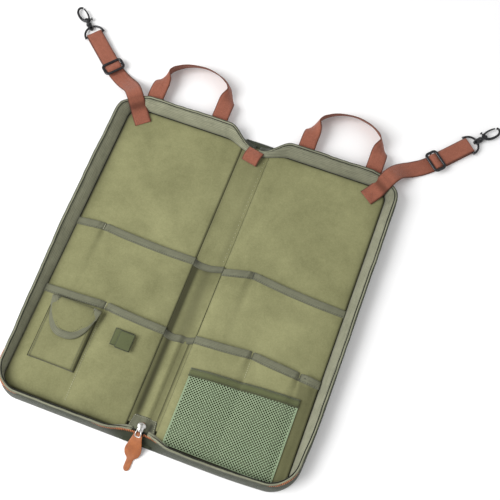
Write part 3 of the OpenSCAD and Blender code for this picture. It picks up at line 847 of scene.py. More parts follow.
def makeLining(side):
    name = names[side]
    low, high = bag["seam"][1] + 0.2, bag["seam"][2] - 0.2
    top, shades = [], []
    for i in range(lining["rows"] + 1):
        y = mix(low, high, 0.5 - 0.5 * math.cos(math.pi * i / lining["rows"]))
        reach = sideX(bag["seam"], y)
        row, shadeRow = [], []
        for j in range(lining["columns"] + 1):
            x = mix(seamX, reach, j / lining["columns"])
            z, shade = liningTop(side, x, y)
            row.append(Vector((side * x, y, z)))
            shadeRow.append(shade)
        top.append(row)
        shades.append(shadeRow)
    piece = pillowPiece(name + "Lining", top, shades, 1.3, cloth["liningCloth"])
    attach(piece, name + "_half", "lining_cloth", name + "_lining", name + "_foam_pad")


def makeSpine():
    top, shades = [], []
    for i in range(91):
        y = mix(-219, 226, i / 90)
        row, shadeRow = [], []
        for j in range(25):
            x = mix(-20.95, 21.05, j / 24)
            ends = min(y + 219, 226 - y)
            arch = math.cos(math.pi * x / 42)
            z = 5.3 - 0.5 * arch + 0.35 * wobble(x, y, 30, 9) * arch - 0.8 * math.exp(-ends / 5)
            row.append(Vector((x, y, z)))
            # painted shade: dark along the left fold, a soft band right of the middle, at both ends and toward the top
            shadeRow.append(0.35 * math.exp(-(x + 20.9) / 3) + 0.16 * bell(x - 14, 5) + 0.06 + 0.3 * math.exp(-ends / 3)
                + 0.12 * smooth(60, 200, y) * bell(x, 12))
        top.append(row)
        shades.append(shadeRow)
    piece = pillowPiece("spineLining", top, shades, 1.3, cloth["liningCloth"])
    attach(piece, "spine", "lining_cloth", "spine_lining", "spine_pad")
    rows = []
    for i in range(101):
        y = mix(-240, 236.5, i / 100)
        end = 1.0 + 1.2 * smooth(222, 232, y) + 4.2 * smooth(228, 239, -y)
        rows.append([Vector((x, y, 1.15 + end * (1 - 0.2 * abs(x) / 21) + 0.3 * abs(wobble(x, y, 40, 4))))
            for x in (mix(-21, 21, j / 14) for j in range(15))])
    back = clothSheet("spineOuterCloth", rows, cloth["outerCloth"], 1.0, (0.042, 0.49))
    attach(back, "spine", "outer_cloth", "spine_outer")


for side in (-1, 1):
    makeLining(side)
makeSpine()
print("linings made")


# pockets: mouth heights at their tacks as (x, y), from the spine outwards

pockets = {
    (-1, "upper"): {"mouth": [(seamX, 31), (163, 35.5), (203.5, 31)], "level": 0.9, "puff": 3.2},
    (1, "upper"): {"mouth": [(seamX, 29.5), (64, 40), (203.5, 30.5)], "level": 0.9, "puff": 3.2},
    (-1, "lower"): {"mouth": [(seamX, -79), (113, -74), (203.5, -78)], "level": 3.2, "puff": 5.2},
    (1, "lower"): {"mouth": [(seamX, -76), (103.5, -69.5), (174, -75), (203.5, -77)], "level": 3.2, "puff": 5.2},
}
bindingWidth = 11


def mouthLine(side, level, x):
    knots = pockets[side, level]["mouth"]
    for (ax, ay), (bx, by) in zip(knots, knots[1:]):
        if x <= bx:
            break
    t = min(1, max(0, (x - ax) / (bx - ax)))
    hump = 1 - abs(2 * t - 1) ** 2.4
    return mix(ay, by, t) - 0.022 * (bx - ax) * hump, hump


def clothHeight(side, level, x, y):
    # height of a pocket's front cloth, and the painted shade there
    shape = pockets[side, level]
    knots = shape["mouth"]
    mouth, hump = mouthLine(side, level, x)
    below = mouth - y
    toEdge = min(sideX(bag["seam"], y) - x, y - bag["seam"][1])
    toSeam = x - seamX
    ease = (1 - math.exp(-max(0, toEdge) / 9)) * (1 - 0.8 * math.exp(-max(0, toSeam) / 6))
    z = bag["stack"] + shape["level"] + shape["puff"] * (0.55 + 0.45 * hump) * ease * (0.75 + 0.25 * bell(below, 60))
    z += 1.7 * hump * math.exp(-max(0, below) / 10)
    # painted shade in the crevice at the outer edge and along the spine's fold, strong on the left half only
    shade = 0.7 * math.exp(-max(0, toEdge) / 1.4) + (0.6 if side < 0 else 0.1) * math.exp(-max(0, toSeam) / 1.0)
    if side > 0 and level == "lower":  # the pleat at the right with painted shade in it, and the net's painted shadow on the cloth under it
        z -= 2.4 * smooth(174, 178, x) * (1 - smooth(198, 203, x)) * smooth(0, 14, below)
        shade += 0.42 * smooth(174.5, 179, x) * smooth(2, 16, below)
        shade += 0.85 * smooth(0, 2.5, min(x - 33, 185.5 - x)) * smooth(0, 4, mix(-126, -116, (x - 33) / 152) - y)
    for kx, ky in knots[1:-1]:
        drift = (ky - y) * -0.035
        close = bell(x - kx - drift, 4.5)
        z -= shape["puff"] * 0.7 * close * math.exp(-max(0, below) / 42)
        z -= 0.7 * bell(x - kx, 1.6) * (level == "lower")
        # painted shade in the dip under each tack
        shade += 0.34 * bell(x - kx - drift - 1.5, 4.2) * math.exp(-max(0, below) / 26)
        fan = (x - kx) / (8 + 0.5 * max(0, below))
        z += 0.9 * math.sin(fan * 7.5) * math.exp(-fan * fan) * math.exp(-max(0, below) / 38) * ease
    z += 0.9 * wobble(x, y, 46, side + 31) * ease + 0.35 * wobble(x + y * 0.5, y, 17, side + 17) * ease
    # painted shade in the cloth's hollows, along the left half's fold and near the outer edges
    hollowShade = 0.13 * max(0, -wobble(x, y, 40, side + 31))
    beside = 0.16 * math.exp(-max(0, toSeam) / 10) * (side < 0)
    shade += hollowShade + beside + 0.12 * math.exp(-max(0, toEdge) / 14)
    return z, shade


def bendAtFold(piece):  # bakes the piece's placement into its mesh
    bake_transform(piece)


def makePocket(side, level):
    name = names[side] + level.capitalize() + "Pocket"
    rows, shades = [], []
    steps = 70
    for j in range(steps + 1):
        x = mix(seamX, 202.6, j / steps)
        mouth, _ = mouthLine(side, level, x)
        line = bag["seam"]
        foot = line[1] + 0.5 + (line[3] - math.sqrt(max(0, line[3] ** 2 - max(0, x - line[0] + line[3]) ** 2)))
        row, shadeRow = [], []
        for i in range(49):
            y = mix(mouth, foot, (i / 48) ** 1.15)
            z, shade = clothHeight(side, level, x, y)
            row.append(Vector((side * x, y, z)))
            # painted shade at the pocket's foot
            shadeRow.append(shade + 0.3 * math.exp(-max(0, y - foot) / 2))
        rows.append(row)
        shades.append(shadeRow)
    high = max(y for _, y in pockets[side, level]["mouth"])
    piece = clothSheet(name, rows, cloth["liningCloth"], 0.8, (0.19, (high + 230 + 8) * mm),
        shades)
    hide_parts(f"{names[side]}_{level}_pocket")
    bendAtFold(piece)
    rows, shades, stitches = [], [], []
    for j in range(steps * 2 + 1):
        x = mix(21.4, 203.2, j / (2 * steps))
        mouth, _ = mouthLine(side, level, x)
        z, _ = clothHeight(side, level, x, mouth)
        row = [Vector((side * x, mouth - 5, z - 1.1)), Vector((side * x, mouth - 0.6, z - 1.0)),
            Vector((side * x, mouth + 0.5, z)), Vector((side * x, mouth - 0.4, z + 0.9))]
        for t in (0.3, 0.6, 0.88, 1.0):
            y = mouth - bindingWidth * t
            row.append(Vector((side * x, y, clothHeight(side, level, x, y)[0] + (0.75 if t < 1 else 0.25))))
        rows.append(row)
        tack = max([bell(x - kx, 1.5) for kx, _ in pockets[side, level]["mouth"][1:-1]] or [0])
        # painted shade under the binding's lip, along its lower edge and around each tack
        shades.append([0.8, 0.5, 0.15 + tack * 0.6, tack * 0.6, tack * 0.6, tack * 0.6, tack * 0.6, 0.35])
        y = mouth - bindingWidth * 0.84
        stitches.append(Vector((side * x, y, clothHeight(side, level, x, y)[0] + 0.85)))
    binding = clothSheet(name[:-6] + "Binding", rows, bindingFinish, 0.6, (0.023, 0.19), shades)
    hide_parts(f"{names[side]}_{level}_binding")
    bendAtFold(binding)
    return stitches


bindingStitches = {side: [makePocket(side, level) for level in ("upper", "lower")] for side in (-1, 1)}

spineFolds = {"upper": {"low": -215, "high": 30.5}, "lower": {"low": -215, "high": -80}}


def spineHeight(level, x, y):
    rise = (abs(x) / 20.8) ** 3
    if level == "lower":
        deep = smooth(-219, -205, y)
        ridge = 4.6 * bell(x - 1.5, 5.6) * deep
        return 7.4 + 2.0 * rise + ridge - 0.5 * deep * bell(x + 13, 6) + 0.3 * wobble(x, y, 22, 6)
    slip = 5 * smooth(-95, 10, y)
    ridge = 1.8 * bell(x - 6 + slip, 5.5) * (1 - smooth(-70, -10, y)) + 0.9 * bell(x - 12, 6)
    return 5.9 + 1.4 * rise + ridge + 0.9 * smooth(-14, 6, x) + 0.25 * wobble(x, y, 22, 6)


def makeSpinePocket(level):
    shape = spineFolds[level]
    rows, shades = [], []
    for i in range(61):
        y = mix(shape["high"], shape["low"], i / 60)
        row, shadeRow = [], []
        for j in range(33):
            x = mix(-20.9, 21.05, j / 32)
            sag = 3.0 * (1 - (x / 20.8) ** 2) * math.exp(-(shape["high"] - y) / 12)
            tilt = 1.6 * x / 20.8 * math.exp(-(shape["high"] - y) / 12)
            row.append(Vector((x, y - sag + tilt, spineHeight(level, x, y))))
            # painted shade in the spine cloth's grooves, in a dark band by the left fold and under the binding
            if level == "lower":
                left = 0.95 * bell(x + 13.5, 5.2) * (0.55 + 0.45 * smooth(-215, -190, y))
                grooveShade = left + 1.3 * bell(x - 12.5, 4.4) * smooth(-222, -190, y) + 0.08
            else:
                grooveShade = 1.15 * bell(x + 17, 4.6) + 0.42 * bell(x - 1, 11) + 0.1 + 0.3 * bell(y - 24, 8)
            shadeRow.append(grooveShade + 0.5 * math.exp(-(20.8 + x) / 1.2) + 0.25 * math.exp(-(shape["high"] - y) / 6))
        rows.append(row)
        shades.append(shadeRow)
    title = "spine" + level.capitalize()
    piece = clothSheet(title + "Pocket", rows, cloth["liningCloth"], 0.7, (0.046, 0.25 if level == "upper" else 0.138),
        shades)
    attach(piece, "spine", "lining_cloth", f"spine_{level}_pocket")
    rows = []
    for j in range(41):
        x = mix(-20.9, 21.05, j / 40)
        edge = shape["high"] - 3.0 * (1 - (x / 20.8) ** 2) + 1.6 * x / 20.8
        z = spineHeight(level, x, shape["high"])
        rows.append([Vector((x, edge - 4, z - 1.0)), Vector((x, edge + 0.3, z)), Vector((x, edge - 0.3, z + 0.9)),
            Vector((x, edge - 5, spineHeight(level, x, edge - 5) + 0.8)),
            Vector((x, edge - 10, spineHeight(level, x, edge - 10) + 0.5))])
    # painted shade under the binding's lip, along its lower edge and at its left end by the fold
    binding = clothSheet(title + "Binding", rows, bindingFinish, 0.6, (0.021, 0.046),
        [[0.7, 0.4, 0.2 + 0.7 * bell(j - 1, 7), 0.15 + 0.7 * bell(j - 1, 7), 0.5] for j in range(41)])
    attach(binding, "spine", "tape")


for level in ("upper", "lower"):
    makeSpinePocket(level)
print("pockets made")


# pouch on the left half

pouch = {
    "x": (114.5, 184.5), "y": (-182, -96), "rise": 7.0,
    "flapTop": -91.0, "flapLow": -143.5, "flapMiddle": 147.5, "flapHalf": 36.5,
}


def pouchHeight(x, y):
    (x0, x1), (y0, _) = pouch["x"], pouch["y"]
    under = clothHeight(-1, "lower", x, y)[0]
    sides = min(x - x0, x1 - x)
    box = smooth(0, 3.2, sides) * smooth(0, 2.6, y - y0)
    full = pouch["rise"] * (0.62 + 0.38 * smooth(0, 50, y - y0)) * box
    return max(under + 0.6, mix(under + 0.6, 12.6 + full, box)) + 0.35 * wobble(x, y, 25, 41) * box


def makePouch():
    (x0, x1), (y0, y1) = pouch["x"], pouch["y"]
    rows, shades = [], []
    for i in range(45):
        y = mix(y0, y1, i / 44)
        row, shadeRow = [], []
        for j in range(45):
            t = j / 44
            x = mix(x0, x1, 0.5 - 0.5 * math.cos(math.pi * t))
            row.append(Vector((-x, y, pouchHeight(x, y))))
            sides = min(x - x0, x1 - x)
            # painted shade: dark lines at the edges and gusset folds, along the bottom, and toward the top under the
            # flap
            shadeRow.append(1.0 * bell(sides - 0.6, 1.4) + 0.45 * bell(sides - 4.6, 0.9) + 0.85 * bell(y - y0 - 0.4, 1.3)
                + 0.12 + 0.35 * smooth(-128, -104, y))
        rows.append(row)
        shades.append(shadeRow)
    piece = clothSheet("pouchFront", rows, cloth["liningCloth"], 0.8, (0.095, 0.102),
        shades)
    attach(piece, "left_half", "lining_cloth", "pouch_body")

    def flapPoint(s, t):  # s across from -1 to 1, t from the hinge to the edge
        low, high = pouch["flapLow"], pouch["flapTop"]
        mid, half = pouch["flapMiddle"], pouch["flapHalf"]
        reach = (high - low) * (1 - abs(s) ** 2.5) ** 0.5 if abs(s) < 1 else 0
        reach = max(reach, 0.3 * (high - low))
        y = high - reach * t
        x = mid + half * s * (1 - 0.08 * t)
        top = 22.6 + 0.9 * (1 - s * s) - 1.6 * t * t + 0.3 * wobble(x, y, 20, 8)
        return Vector((-x, y, top - 1.0 * (1 - smooth(0, 0.1, t))))

    rows = [[flapPoint(mix(-1, 1, j / 40), i / 26) for j in range(41)] for i in range(27)]
    # painted shade, darker by the hinge and toward the sides
    shades = [[0.1 + 0.5 * math.exp(-i / 1.5) + 0.3 * (1 - math.sin(math.pi * j / 40)) ** 2 for j in range(41)]
        for i in range(27)]
    flap = clothSheet("pouchFlap", rows, cloth["liningCloth"], 0.9, (0.074, 0.054), shades)
    attach(flap, "pouch_flap", "lining_cloth", "pouch_flap")
    edge = [flapPoint(-1, t) for t in (0.12, 0.35, 0.6, 0.85)]
    edge += [flapPoint(mix(-1, 1, j / 60), 1) for j in range(61)]
    edge += [flapPoint(1, t) for t in (0.85, 0.6, 0.35, 0.12)]
    centre = Vector((-146, -112, 0))
    rows = []
    for k, point in enumerate(edge):
        before, after = edge[max(0, k - 1)], edge[min(len(edge) - 1, k + 1)]
        along = (after - before).normalized()
        inward = Vector((-along.y, along.x, 0))
        if inward.dot(Vector((centre.x - point.x, centre.y - point.y, 0))) < 0:
            inward = -inward
        section = ((6, -1.5), (-0.3, -1.3), (-0.9, 0), (0.2, 0.75), (6, 0.9), (11, 0.35))
        rows.append([point + inward * reach + Vector((0, 0, rise)) for reach, rise in section])
    trim = clothSheet("pouchFlapBinding", rows, bindingFinish, 0.6, (0.02, 0.16))
    attach(trim, "pouch_flap", "tape")
    return [[row[4] * 0.4 + row[5] * 0.6 + Vector((0, 0, 0.45)) for row in rows]]


flapStitches = makePouch()


# key tab, net pocket


def slab(name, corners, rise, material, crown):
    # a thick soft tile between four corners, with a rounded rim
    a, b, c, d = (Vector(p) for p in corners)
    rows, steps = [], 14
    for i in range(steps + 1):
        row = []
        for j in range(steps + 1):
            s, t = i / steps, j / steps
            point = a.lerp(b, s).lerp(d.lerp(c, s), t)
            rim = min(s, 1 - s, t, 1 - t) * 2
            row.append(point + Vector((0, 0, rise + crown * (1 - (1 - rim) ** 4))))
        rows.append(row)
    low = min(p.z for p in (a, b, c, d))
    # painted shade round the tile's rim
    shades = [[0.7 * (i in (0, steps) or j in (0, steps)) for j in range(steps + 1)] for i in range(steps + 1)]
    return pillowPiece(name, rows, shades, low - 0.2, material)


keyTab = {
    "base": [(-84.5, -129, 16.2), (-58, -129, 16.2), (-58, -104.5, 16.2), (-84.5, -104.5, 16.2)],
    "flap": [(-75.5, -131.5, 20.6), (-54.5, -131.5, 18.9), (-54.5, -106.5, 18.9), (-75.5, -106.5, 20.6)],
}


def makeKeyTab():
    base = slab("keyTabBase", keyTab["base"], 1.6, cloth["gripCloth"], 0.4)
    attach(base, "left_half", "trim_webbing", "key_tab_base")
    flap = slab("keyTabFlap", keyTab["flap"], 1.9, cloth["gripCloth"], 0.5)
    attach(flap, "key_tab_flap", "trim_webbing", "key_tab_flap")


makeKeyTab()

net = {"x": (33.5, 185), "low": -227, "top": (-128, -118), "hem": (-120, -110), "pitch": 4.3, "strand": 0.56, "puff": 3.4}


def netHeight(x, y):
    under = clothHeight(1, "lower", x, y)[0]
    toSide = min(x - net["x"][0], net["x"][1] - x)
    ripple = 0.8 + 0.2 * math.sin(x / 9)
    return under + 1.2 + net["puff"] * smooth(0, 22, toSide) * smooth(-228, -205, y) * ripple + 0.5 * wobble(x, y, 24, 51)


def makeNet():
    x0, x1 = net["x"]
    low, high = net["low"], net["top"][1] + 1
    paths = []
    for slope in (-1, 1):
        count = int((x1 - x0 + high - low) / net["pitch"])
        for k in range(count):
            start = x0 - (high - low) + k * net["pitch"] if slope > 0 else x0 + k * net["pitch"]
            path = []
            for s in range(0, 200):
                t = s * 0.9
                x, y = start + slope * t * 0.86 * 1.16, low + t
                if y > high:
                    break
                if x0 <= x <= x1 and y < mix(*net["top"], (x - x0) / (x1 - x0)):
                    weave = 0.35 * math.sin(math.pi * (t / net["pitch"]) * 2 + (math.pi if slope > 0 else 0) + k * math.pi)
                    path.append(Vector((x, y, netHeight(x, y) + weave)))
            if len(path) > 2:
                paths.append(path)
    for x, top in zip(net["x"], net["top"]):
        for inset in (0, 1.3):
            column = x + inset * (1 if x == x0 else -1)
            climb = [mix(low, top, s / 30) for s in range(31)]
            paths.append([Vector((column, y, netHeight(column, y) + 0.2 * inset)) for y in climb])
    paths.append([Vector((mix(x0, x1, s / 60), low, netHeight(mix(x0, x1, s / 60), low))) for s in range(61)])
    piece = grown("netPocket", curveFrom("netPaths", paths), netTree(threads["net"]), {"Thickness": net["strand"] * mm})
    attach(piece, "right_half", "mesh_net", "mesh_pocket")
    rows = []
    for j in range(61):
        x = mix(x0 - 1.5, x1 + 0.5, j / 60)
        top = mix(*net["hem"], j / 60)
        row = []
        for out, over, lift in ((-8, -8, -0.8), (0, 0, -0.3), (0.4, 0, 0.3), (-5, -5, 1.1), (-11.5, -11.5, 0.9)):
            row.append(Vector((x, top + out, netHeight(x, top + over) + lift)))
        rows.append(row)
    # painted shade under the hem's folded edge and along its lower edge
    hem = clothSheet("netHem", rows, cloth["gripCloth"], 0.7, (0.022, 0.16),
        [[0.6, 0.2, 0.1, 0, 0.4]] * 61)
    attach(hem, "right_half", "trim_webbing", "mesh_hem")
    return [[row[4] + Vector((0, 1.4, 0.45)) for row in rows]]


hemStitches = makeNet()
print("pouch, tab and net made")


# webbing: straps, handles, top tab

webbing = {"width": 25, "thickness": 1.5}


def strapMiddle(side):
    knots = [
        (0, 7.6), (13, 7.9), (21, 10.2), (28, 15.6), (34, 21.0), (39, 24.3), (45, 25.2), (52, 23.2), (61, 17.4),
        (71, 10.4), (82, 5.0), (93, 2.7), (104, 2.1), (125, 2.0), (150, 2.1), (168, 2.3), (177, 2.3),
    ]
    return spline([strapPoint(side, u, strapSway(side, u), z) for u, z in knots], 6)


def strapWidths(side, path):  # the strap's level crossways direction at each point
    made = []
    for k in range(len(path)):
        along = path[min(len(path) - 1, k + 2)] - path[max(0, k - 2)]
        made.append(Vector((-along.y, along.x, 0)).normalized() * side)
    return made


hook = {
    "z": 4.9,
    "neck": [(189.6, 2.4), (190.6, 2.5), (191.4, 1.9), (198.4, 1.9), (198.6, 3.9), (200.6, 4.6), (203.0, 3.9),
        (204.4, 2.6), (206.6, 2.4), (208.4, 3.1), (210.4, 3.2), (212.4, 2.6)],
    "claw": [(207.5, -0.4), (210.5, -3.2), (214.5, -5.6), (219.5, -6.6), (225, -6.7), (230.5, -5.4), (234.6, -1.9),
        (235.2, 1.8), (233.2, 4.8)],
    "gate": [(209.7, 4.2), (214.5, 5.9), (220, 6.6), (226, 6.4), (230.8, 5.4)],
    "knob": [(209.7, 4.2), (208.6, 7.0), (207.9, 9.4)],
}


def makeHook(side):
    name, z = names[side], hook["z"]
    turn = math.radians(strapTurn[side])
    cross, up = Vector((-side * math.sin(turn), math.cos(turn), 0)), Vector((0, 0, 1))
    ring = [cross * math.cos(a) + up * math.sin(a) for a in (2 * math.pi * j / 20 for j in range(20))]
    rows = [[strapPoint(side, u, 0, z) + way * r for way in ring] for u, r in hook["neck"]]
    neck = outwards(gridPiece(name + "HookNeck", rows, blackMetal, loop=True, capped=True))
    bow = spline([strapPoint(side, u, v, z) for u, v in hook["claw"]], 7)
    claw = tube(name + "HookClaw", bow, lambda t: 2.2 - 0.6 * t, blackMetal, 12)
    ears = []
    for s in (-1, 1):
        path = [strapPoint(side, u, v, z + s * 2.2) for u, v in ((206.5, 0), (208, 2.2), (209.7, 4.4), (210.2, 5.4))]
        ears.append(tube(f"{name}HookEar{s}", spline(path, 4), lambda t: 2.4 - 0.5 * t, blackMetal, 12, flatten=0.32))
    upright = [strapPoint(side, 209.7, 4.2, z + h) for h in (-3.1, -2.9, 0, 2.9, 3.1)]
    pin = tube(name + "HookPin", upright, lambda t: 1.1 if 0.1 < t < 0.9 else 0.8, blackMetal, 12)
    body = joined(name + "HookBody", [neck, claw, pin] + ears)
    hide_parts(name + "_hook")
    arm = spline([strapPoint(side, u, v, z) for u, v in hook["gate"]], 6)
    gate = tube(name + "GateArm", arm, lambda t: 1.6 - 0.5 * t, blackMetal, 12)

    def knobRadius(t):  # a thin stem with a round end
        return 0.95 if t < 0.62 else 0.95 + 1.6 * math.sin(math.pi * min(1, (t - 0.62) / 0.4)) ** 0.7

    thumb = spline([strapPoint(side, u, v, z) for u, v in hook["knob"]], 6)
    stem = tube(name + "GateStem", thumb, knobRadius, blackMetal, 14)
    gatePiece = joined(name + "HookGate", [gate, stem])
    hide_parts(name + "_hook_gate")
    for piece, node in ((body, "_hook"), (gatePiece, "_gate")):
        attach(piece, name + node, "black_metal")


buckle = {"half": 15.0, "reach": 8.3, "corner": 4.4, "rail": 2.1, "bar": 1.1}


def makeStrap(side):
    name = names[side]
    low = strapMiddle(side)
    rows = ribbonRows(low, strapWidths(side, low), webbing["width"])
    # painted shade where the strap climbs the wall and again near its crest
    paintedStrapShade = [[0.9 * bell((k / 6) - 2.9, 0.75) + 0.35 * bell(k / 6 - 4.6, 0.6)] * len(rows[0]) for k in range(len(rows))]
    piece = upwards(gridPiece(name + "StrapWebbing", rows, webbingFinish, paintedStrapShade))
    piece = thicken(piece, webbing["thickness"], 0.0)
    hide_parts(name + "_strap", name + "_strap_patch")
    start, end = strapPoint(side, 41, 0, 22) * mm, strapPoint(side, 53, 0, 22) * mm
    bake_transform(piece)
    glide = glideAt[side]
    loop = [(174, 2.3), (179, 2.5), (182.0, 3.6), (182.6, 4.9), (181.8, 6.4), (179.5, 7.2), (174, 7.5), (160, 7.4),
        (145, 7.0), (glide + 15, 7.2), (glide + 8, 7.6)]
    turn = math.radians(strapTurn[side])
    cross = Vector((-side * math.sin(turn), math.cos(turn), 0))
    upper = spline([strapPoint(side, u, 0, z) for u, z in loop], 6)
    rows = ribbonRows(upper, [cross] * len(upper), webbing["width"] - 0.4)
    top = gridPiece(name + "StrapLoop", rows, webbingFinish)
    top = thicken(top, webbing["thickness"], 0.0)
    near, far = strapPoint(side, 170, 0, 5) * mm, strapPoint(side, glide + 8, 0, 5) * mm
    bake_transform(top)
    wrap = [(glide + 8, 7.5), (glide + 5.8, 7.9), (glide + 3.6, 9.0), (glide + 0.8, 9.9), (glide - 2, 9.6),
        (glide - 4, 8.5), (glide - 5.4, 7.0), (glide - 5.2, 5.4), (glide - 3, 4.4), (glide + 2, 4.2)]
    path = spline([strapPoint(side, u, 0, z) for u, z in wrap], 5)
    rows = ribbonRows(path, [cross] * len(path), webbing["width"] - 0.6)
    bight = gridPiece(name + "GlideWrap", rows, webbingFinish)
    bight = thicken(bight, webbing["thickness"], 0.0)
    attach(bight, name + "_tri_glide", "webbing")
    half, reach, corner = buckle["half"], buckle["reach"], buckle["corner"]
    outline = []
    for cx, cy, a0 in ((reach - corner, half - corner, 0), (corner - reach, half - corner, 90),
            (corner - reach, corner - half, 180), (reach - corner, corner - half, 270)):
        for s in range(9):
            a = math.radians(a0 + 11.25 * s)
            outline.append(strapPoint(side, glide + cx + corner * math.cos(a), cy + corner * math.sin(a), 9.9))
    rails = tube(name + "GlideRails", outline, buckle["rail"], blackMetal, 14, closed=True, flatten=0.72)
    middle = [strapPoint(side, glide, mix(-half, half, s / 8), 7.0 + 1.4 * abs(2 * s / 8 - 1) ** 6) for s in range(9)]
    bar = tube(name + "GlideBar", middle, buckle["bar"], blackMetal, 10)
    glidePiece = joined(name + "TriGlide", [rails, bar])
    attach(glidePiece, name + "_tri_glide", "black_metal", name + "_tri_glide")
    frame["nodes"][name + "_swivel_ring"].data.materials.clear()
    frame["nodes"][name + "_swivel_ring"].data.materials.append(blackMetal)
    makeHook(side)
    corners = [(3, -9.5), (3, 9.5), (18, 9.5), (18, -9.5), (3, -9.5), (18, 9.5), (18, -9.5), (3, 9.5)]
    boxes = []
    for a, b in zip(corners, corners[1:]):
        steps = [(mix(a[0], b[0], s / 14), mix(a[1], b[1], s / 14)) for s in range(15)]
        boxes.append([strapPoint(side, u, v + strapSway(side, u), 8.75) for u, v in steps])
    return boxes


strapBoxes = {side: makeStrap(side) for side in (-1, 1)}
print("straps made")

handleShape = {
    "middleX": 121,
    "knots": [
        ((-52, 240.5, 5), (1, 0, 0)), ((-52, 243.5, 12), (1, 0, 0)), ((-52, 250, 17), (1, 0, 0)),
        ((-52, 262, 18), (1, 0, 0)), ((-51.8, 272, 17.6), (0.98, 0.03, 0.14)), ((-51.5, 280, 16.6), (0.88, 0.06, 0.45)),
        ((-51.5, 286.5, 15.4), (0.6, 0.03, 0.78)), ((-51, 292.5, 14.4), (0.32, -0.08, 0.93)),
        ((-48.5, 299, 13.7), (0.14, -0.24, 0.97)), ((-41.5, 308, 13.2), (0.08, -0.33, 0.95)),
        ((-25, 318.5, 12.6), (0.1, -0.4, 0.92)), ((0, 323.5, 12.2), (0.13, -0.45, 0.89)),
    ],
}


def makeHandle(side):
    name = names[side]
    knots = [(Vector(p), Vector(w)) for p, w in handleShape["knots"]]
    mirrored = [(Vector((-p.x, p.y, p.z)), Vector((-w.x, w.y, w.z))) for p, w in reversed(knots[:-1])]
    knots += mirrored
    middle = Vector((side * handleShape["middleX"], 0, 0))
    path = [middle + p for p in spline([p for p, _ in knots], 7)]
    widths = spline([w for _, w in knots], 7)
    rows = ribbonRows(path, widths, webbing["width"])
    piece = gridPiece(name + "Handle", rows, webbingFinish)
    piece = thicken(piece, webbing["thickness"], 0.0)
    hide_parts(name + "_handle")
    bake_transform(piece)
    parts = []
    for s in (-1, 1):
        x = side * handleShape["middleX"] + s * 52
        rows = [[Vector((x + 12.5 * mix(-1, 1, j / 6), 240.9 + 0.5 * math.sin(math.pi * k / 8), mix(2.5, 18, k / 8)))
            for j in range(7)] for k in range(9)]
        parts.append(thicken(gridPiece(f"{name}HandleEnd{s}", rows, webbingFinish), 1.2, 0.0))
    ends = joined(name + "HandleEnds", parts)
    attach(ends, name + "_half", "webbing", name + "_handle_patches")


for side in (-1, 1):
    makeHandle(side)


def makeTopTab():
    rows = []
    turn = math.radians(-12)
    cosine, sine = math.cos(turn), math.sin(turn)
    for k in range(15):
        t = k / 14
        z = 9.6 + 3.0 * math.sin(math.pi * min(1, t * 1.1)) - 2.8 * (1 - smooth(0, 0.2, t)) + 1.6 * t
        v = mix(1, 23, t) - 12
        across = [mix(-12.5, 12.5, j / 8) for j in range(9)]
        rows.append([Vector((-2 + (u * cosine - v * sine), 209 + v * cosine + u * sine, z)) for u in across])
    piece = clothSheet("topTab", rows, webbingFinish, 1.6, (0.025, 0.026))
    attach(piece, "spine", "webbing", "top_tab")


makeTopTab()
print("handles made")


# the zip's end: patch, slider and leather pull


zipEnd = {"chainZ": 12.9}


def patchHeight(x, y):
    own = 8.6 + 3.2 * bell(x, 12) * smooth(-203, -214, y) + 0.9 * smooth(14, 18, abs(x)) * smooth(-206, -216, y)
    return max(own, spineHeight("lower", x, max(y, -215)) + 0.9)


def makeZipEnd():
    rows, shades = [], []
    for k in range(15):
        y = mix(-222, -202.5, k / 14)
        reach = mix(18.8, 15.8, k / 14) - 3.4 * smooth(-206, -201.5, y)
        row, shadeRow = [], []
        for j in range(21):
            x = mix(-reach, reach + 0.6, j / 20)
            row.append(Vector((x, y, patchHeight(x, y) - 0.9 * (k == 14))))
            # painted shade along the patch's edges, in a strip near its right side and lightly all over
            shadeRow.append(0.5 * (k == 14 or j in (0, 20)) + 0.75 * bell(x - 11.5, 2.8) * smooth(-206, -211, y) + 0.2)
        rows.append(row)
        shades.append(shadeRow)
    patch = clothSheet("zipEndPatch", rows, bindingFinish, 1.3, (0.0385, 0.02), shades)
    attach(patch, "spine", "tape", "zip_end_patch")
    path = [Vector((0, y, zipEnd["chainZ"] - 0.8 * smooth(-222, -210, y))) for y in (-232, -228, -224, -220, -216, -212)]
    chain = grown("zipEndTeeth", curveFrom("zipEndRow", [path]), teethTree, stitchSizes["endTeeth"])
    attach(chain, "spine", "zip_coil", "zip_end_chain")
    stitches = [[Vector((x, -204.2, patchHeight(x, -204.2) + 0.9)) for x in (mix(-14.6, 15, s / 12) for s in range(13))]]
    for side in (-1, 1):
        stitches.append([Vector((side * mix(15, 17.4, s / 6), mix(-204.2, -221, s / 6),
            patchHeight(side * mix(15, 17.4, s / 6), mix(-204.2, -221, s / 6)) + 0.9)) for s in range(7)])
    return stitches


def roundedPlate(name, outline, z, thickness, material, bulge=0.5, edge=0.6):
    # a solid plate with this outline, its edges rounded and its top slightly raised
    centre = sum((Vector((x, y, 0)) for x, y in outline), Vector()) / len(outline)
    rows = []
    for inset, height in ((1.6 * edge, 0), (0.5 * edge, 0.06), (0, 0.35), (0, 0.65), (0.5 * edge, 0.94), (1.6 * edge, 1.0),
            (4.2 * edge, 1.0 + 0.4 * bulge)):
        row = []
        for x, y in outline:
            away = Vector((x - centre.x, y - centre.y, 0))
            point = away * max(0.1, 1 - inset / max(0.1, away.length)) + centre
            row.append(Vector((point.x, point.y, z(point.x, point.y) + thickness * height)))
        rows.append(row)
    return outwards(gridPiece(name, rows, material, loop=True, capped=True))


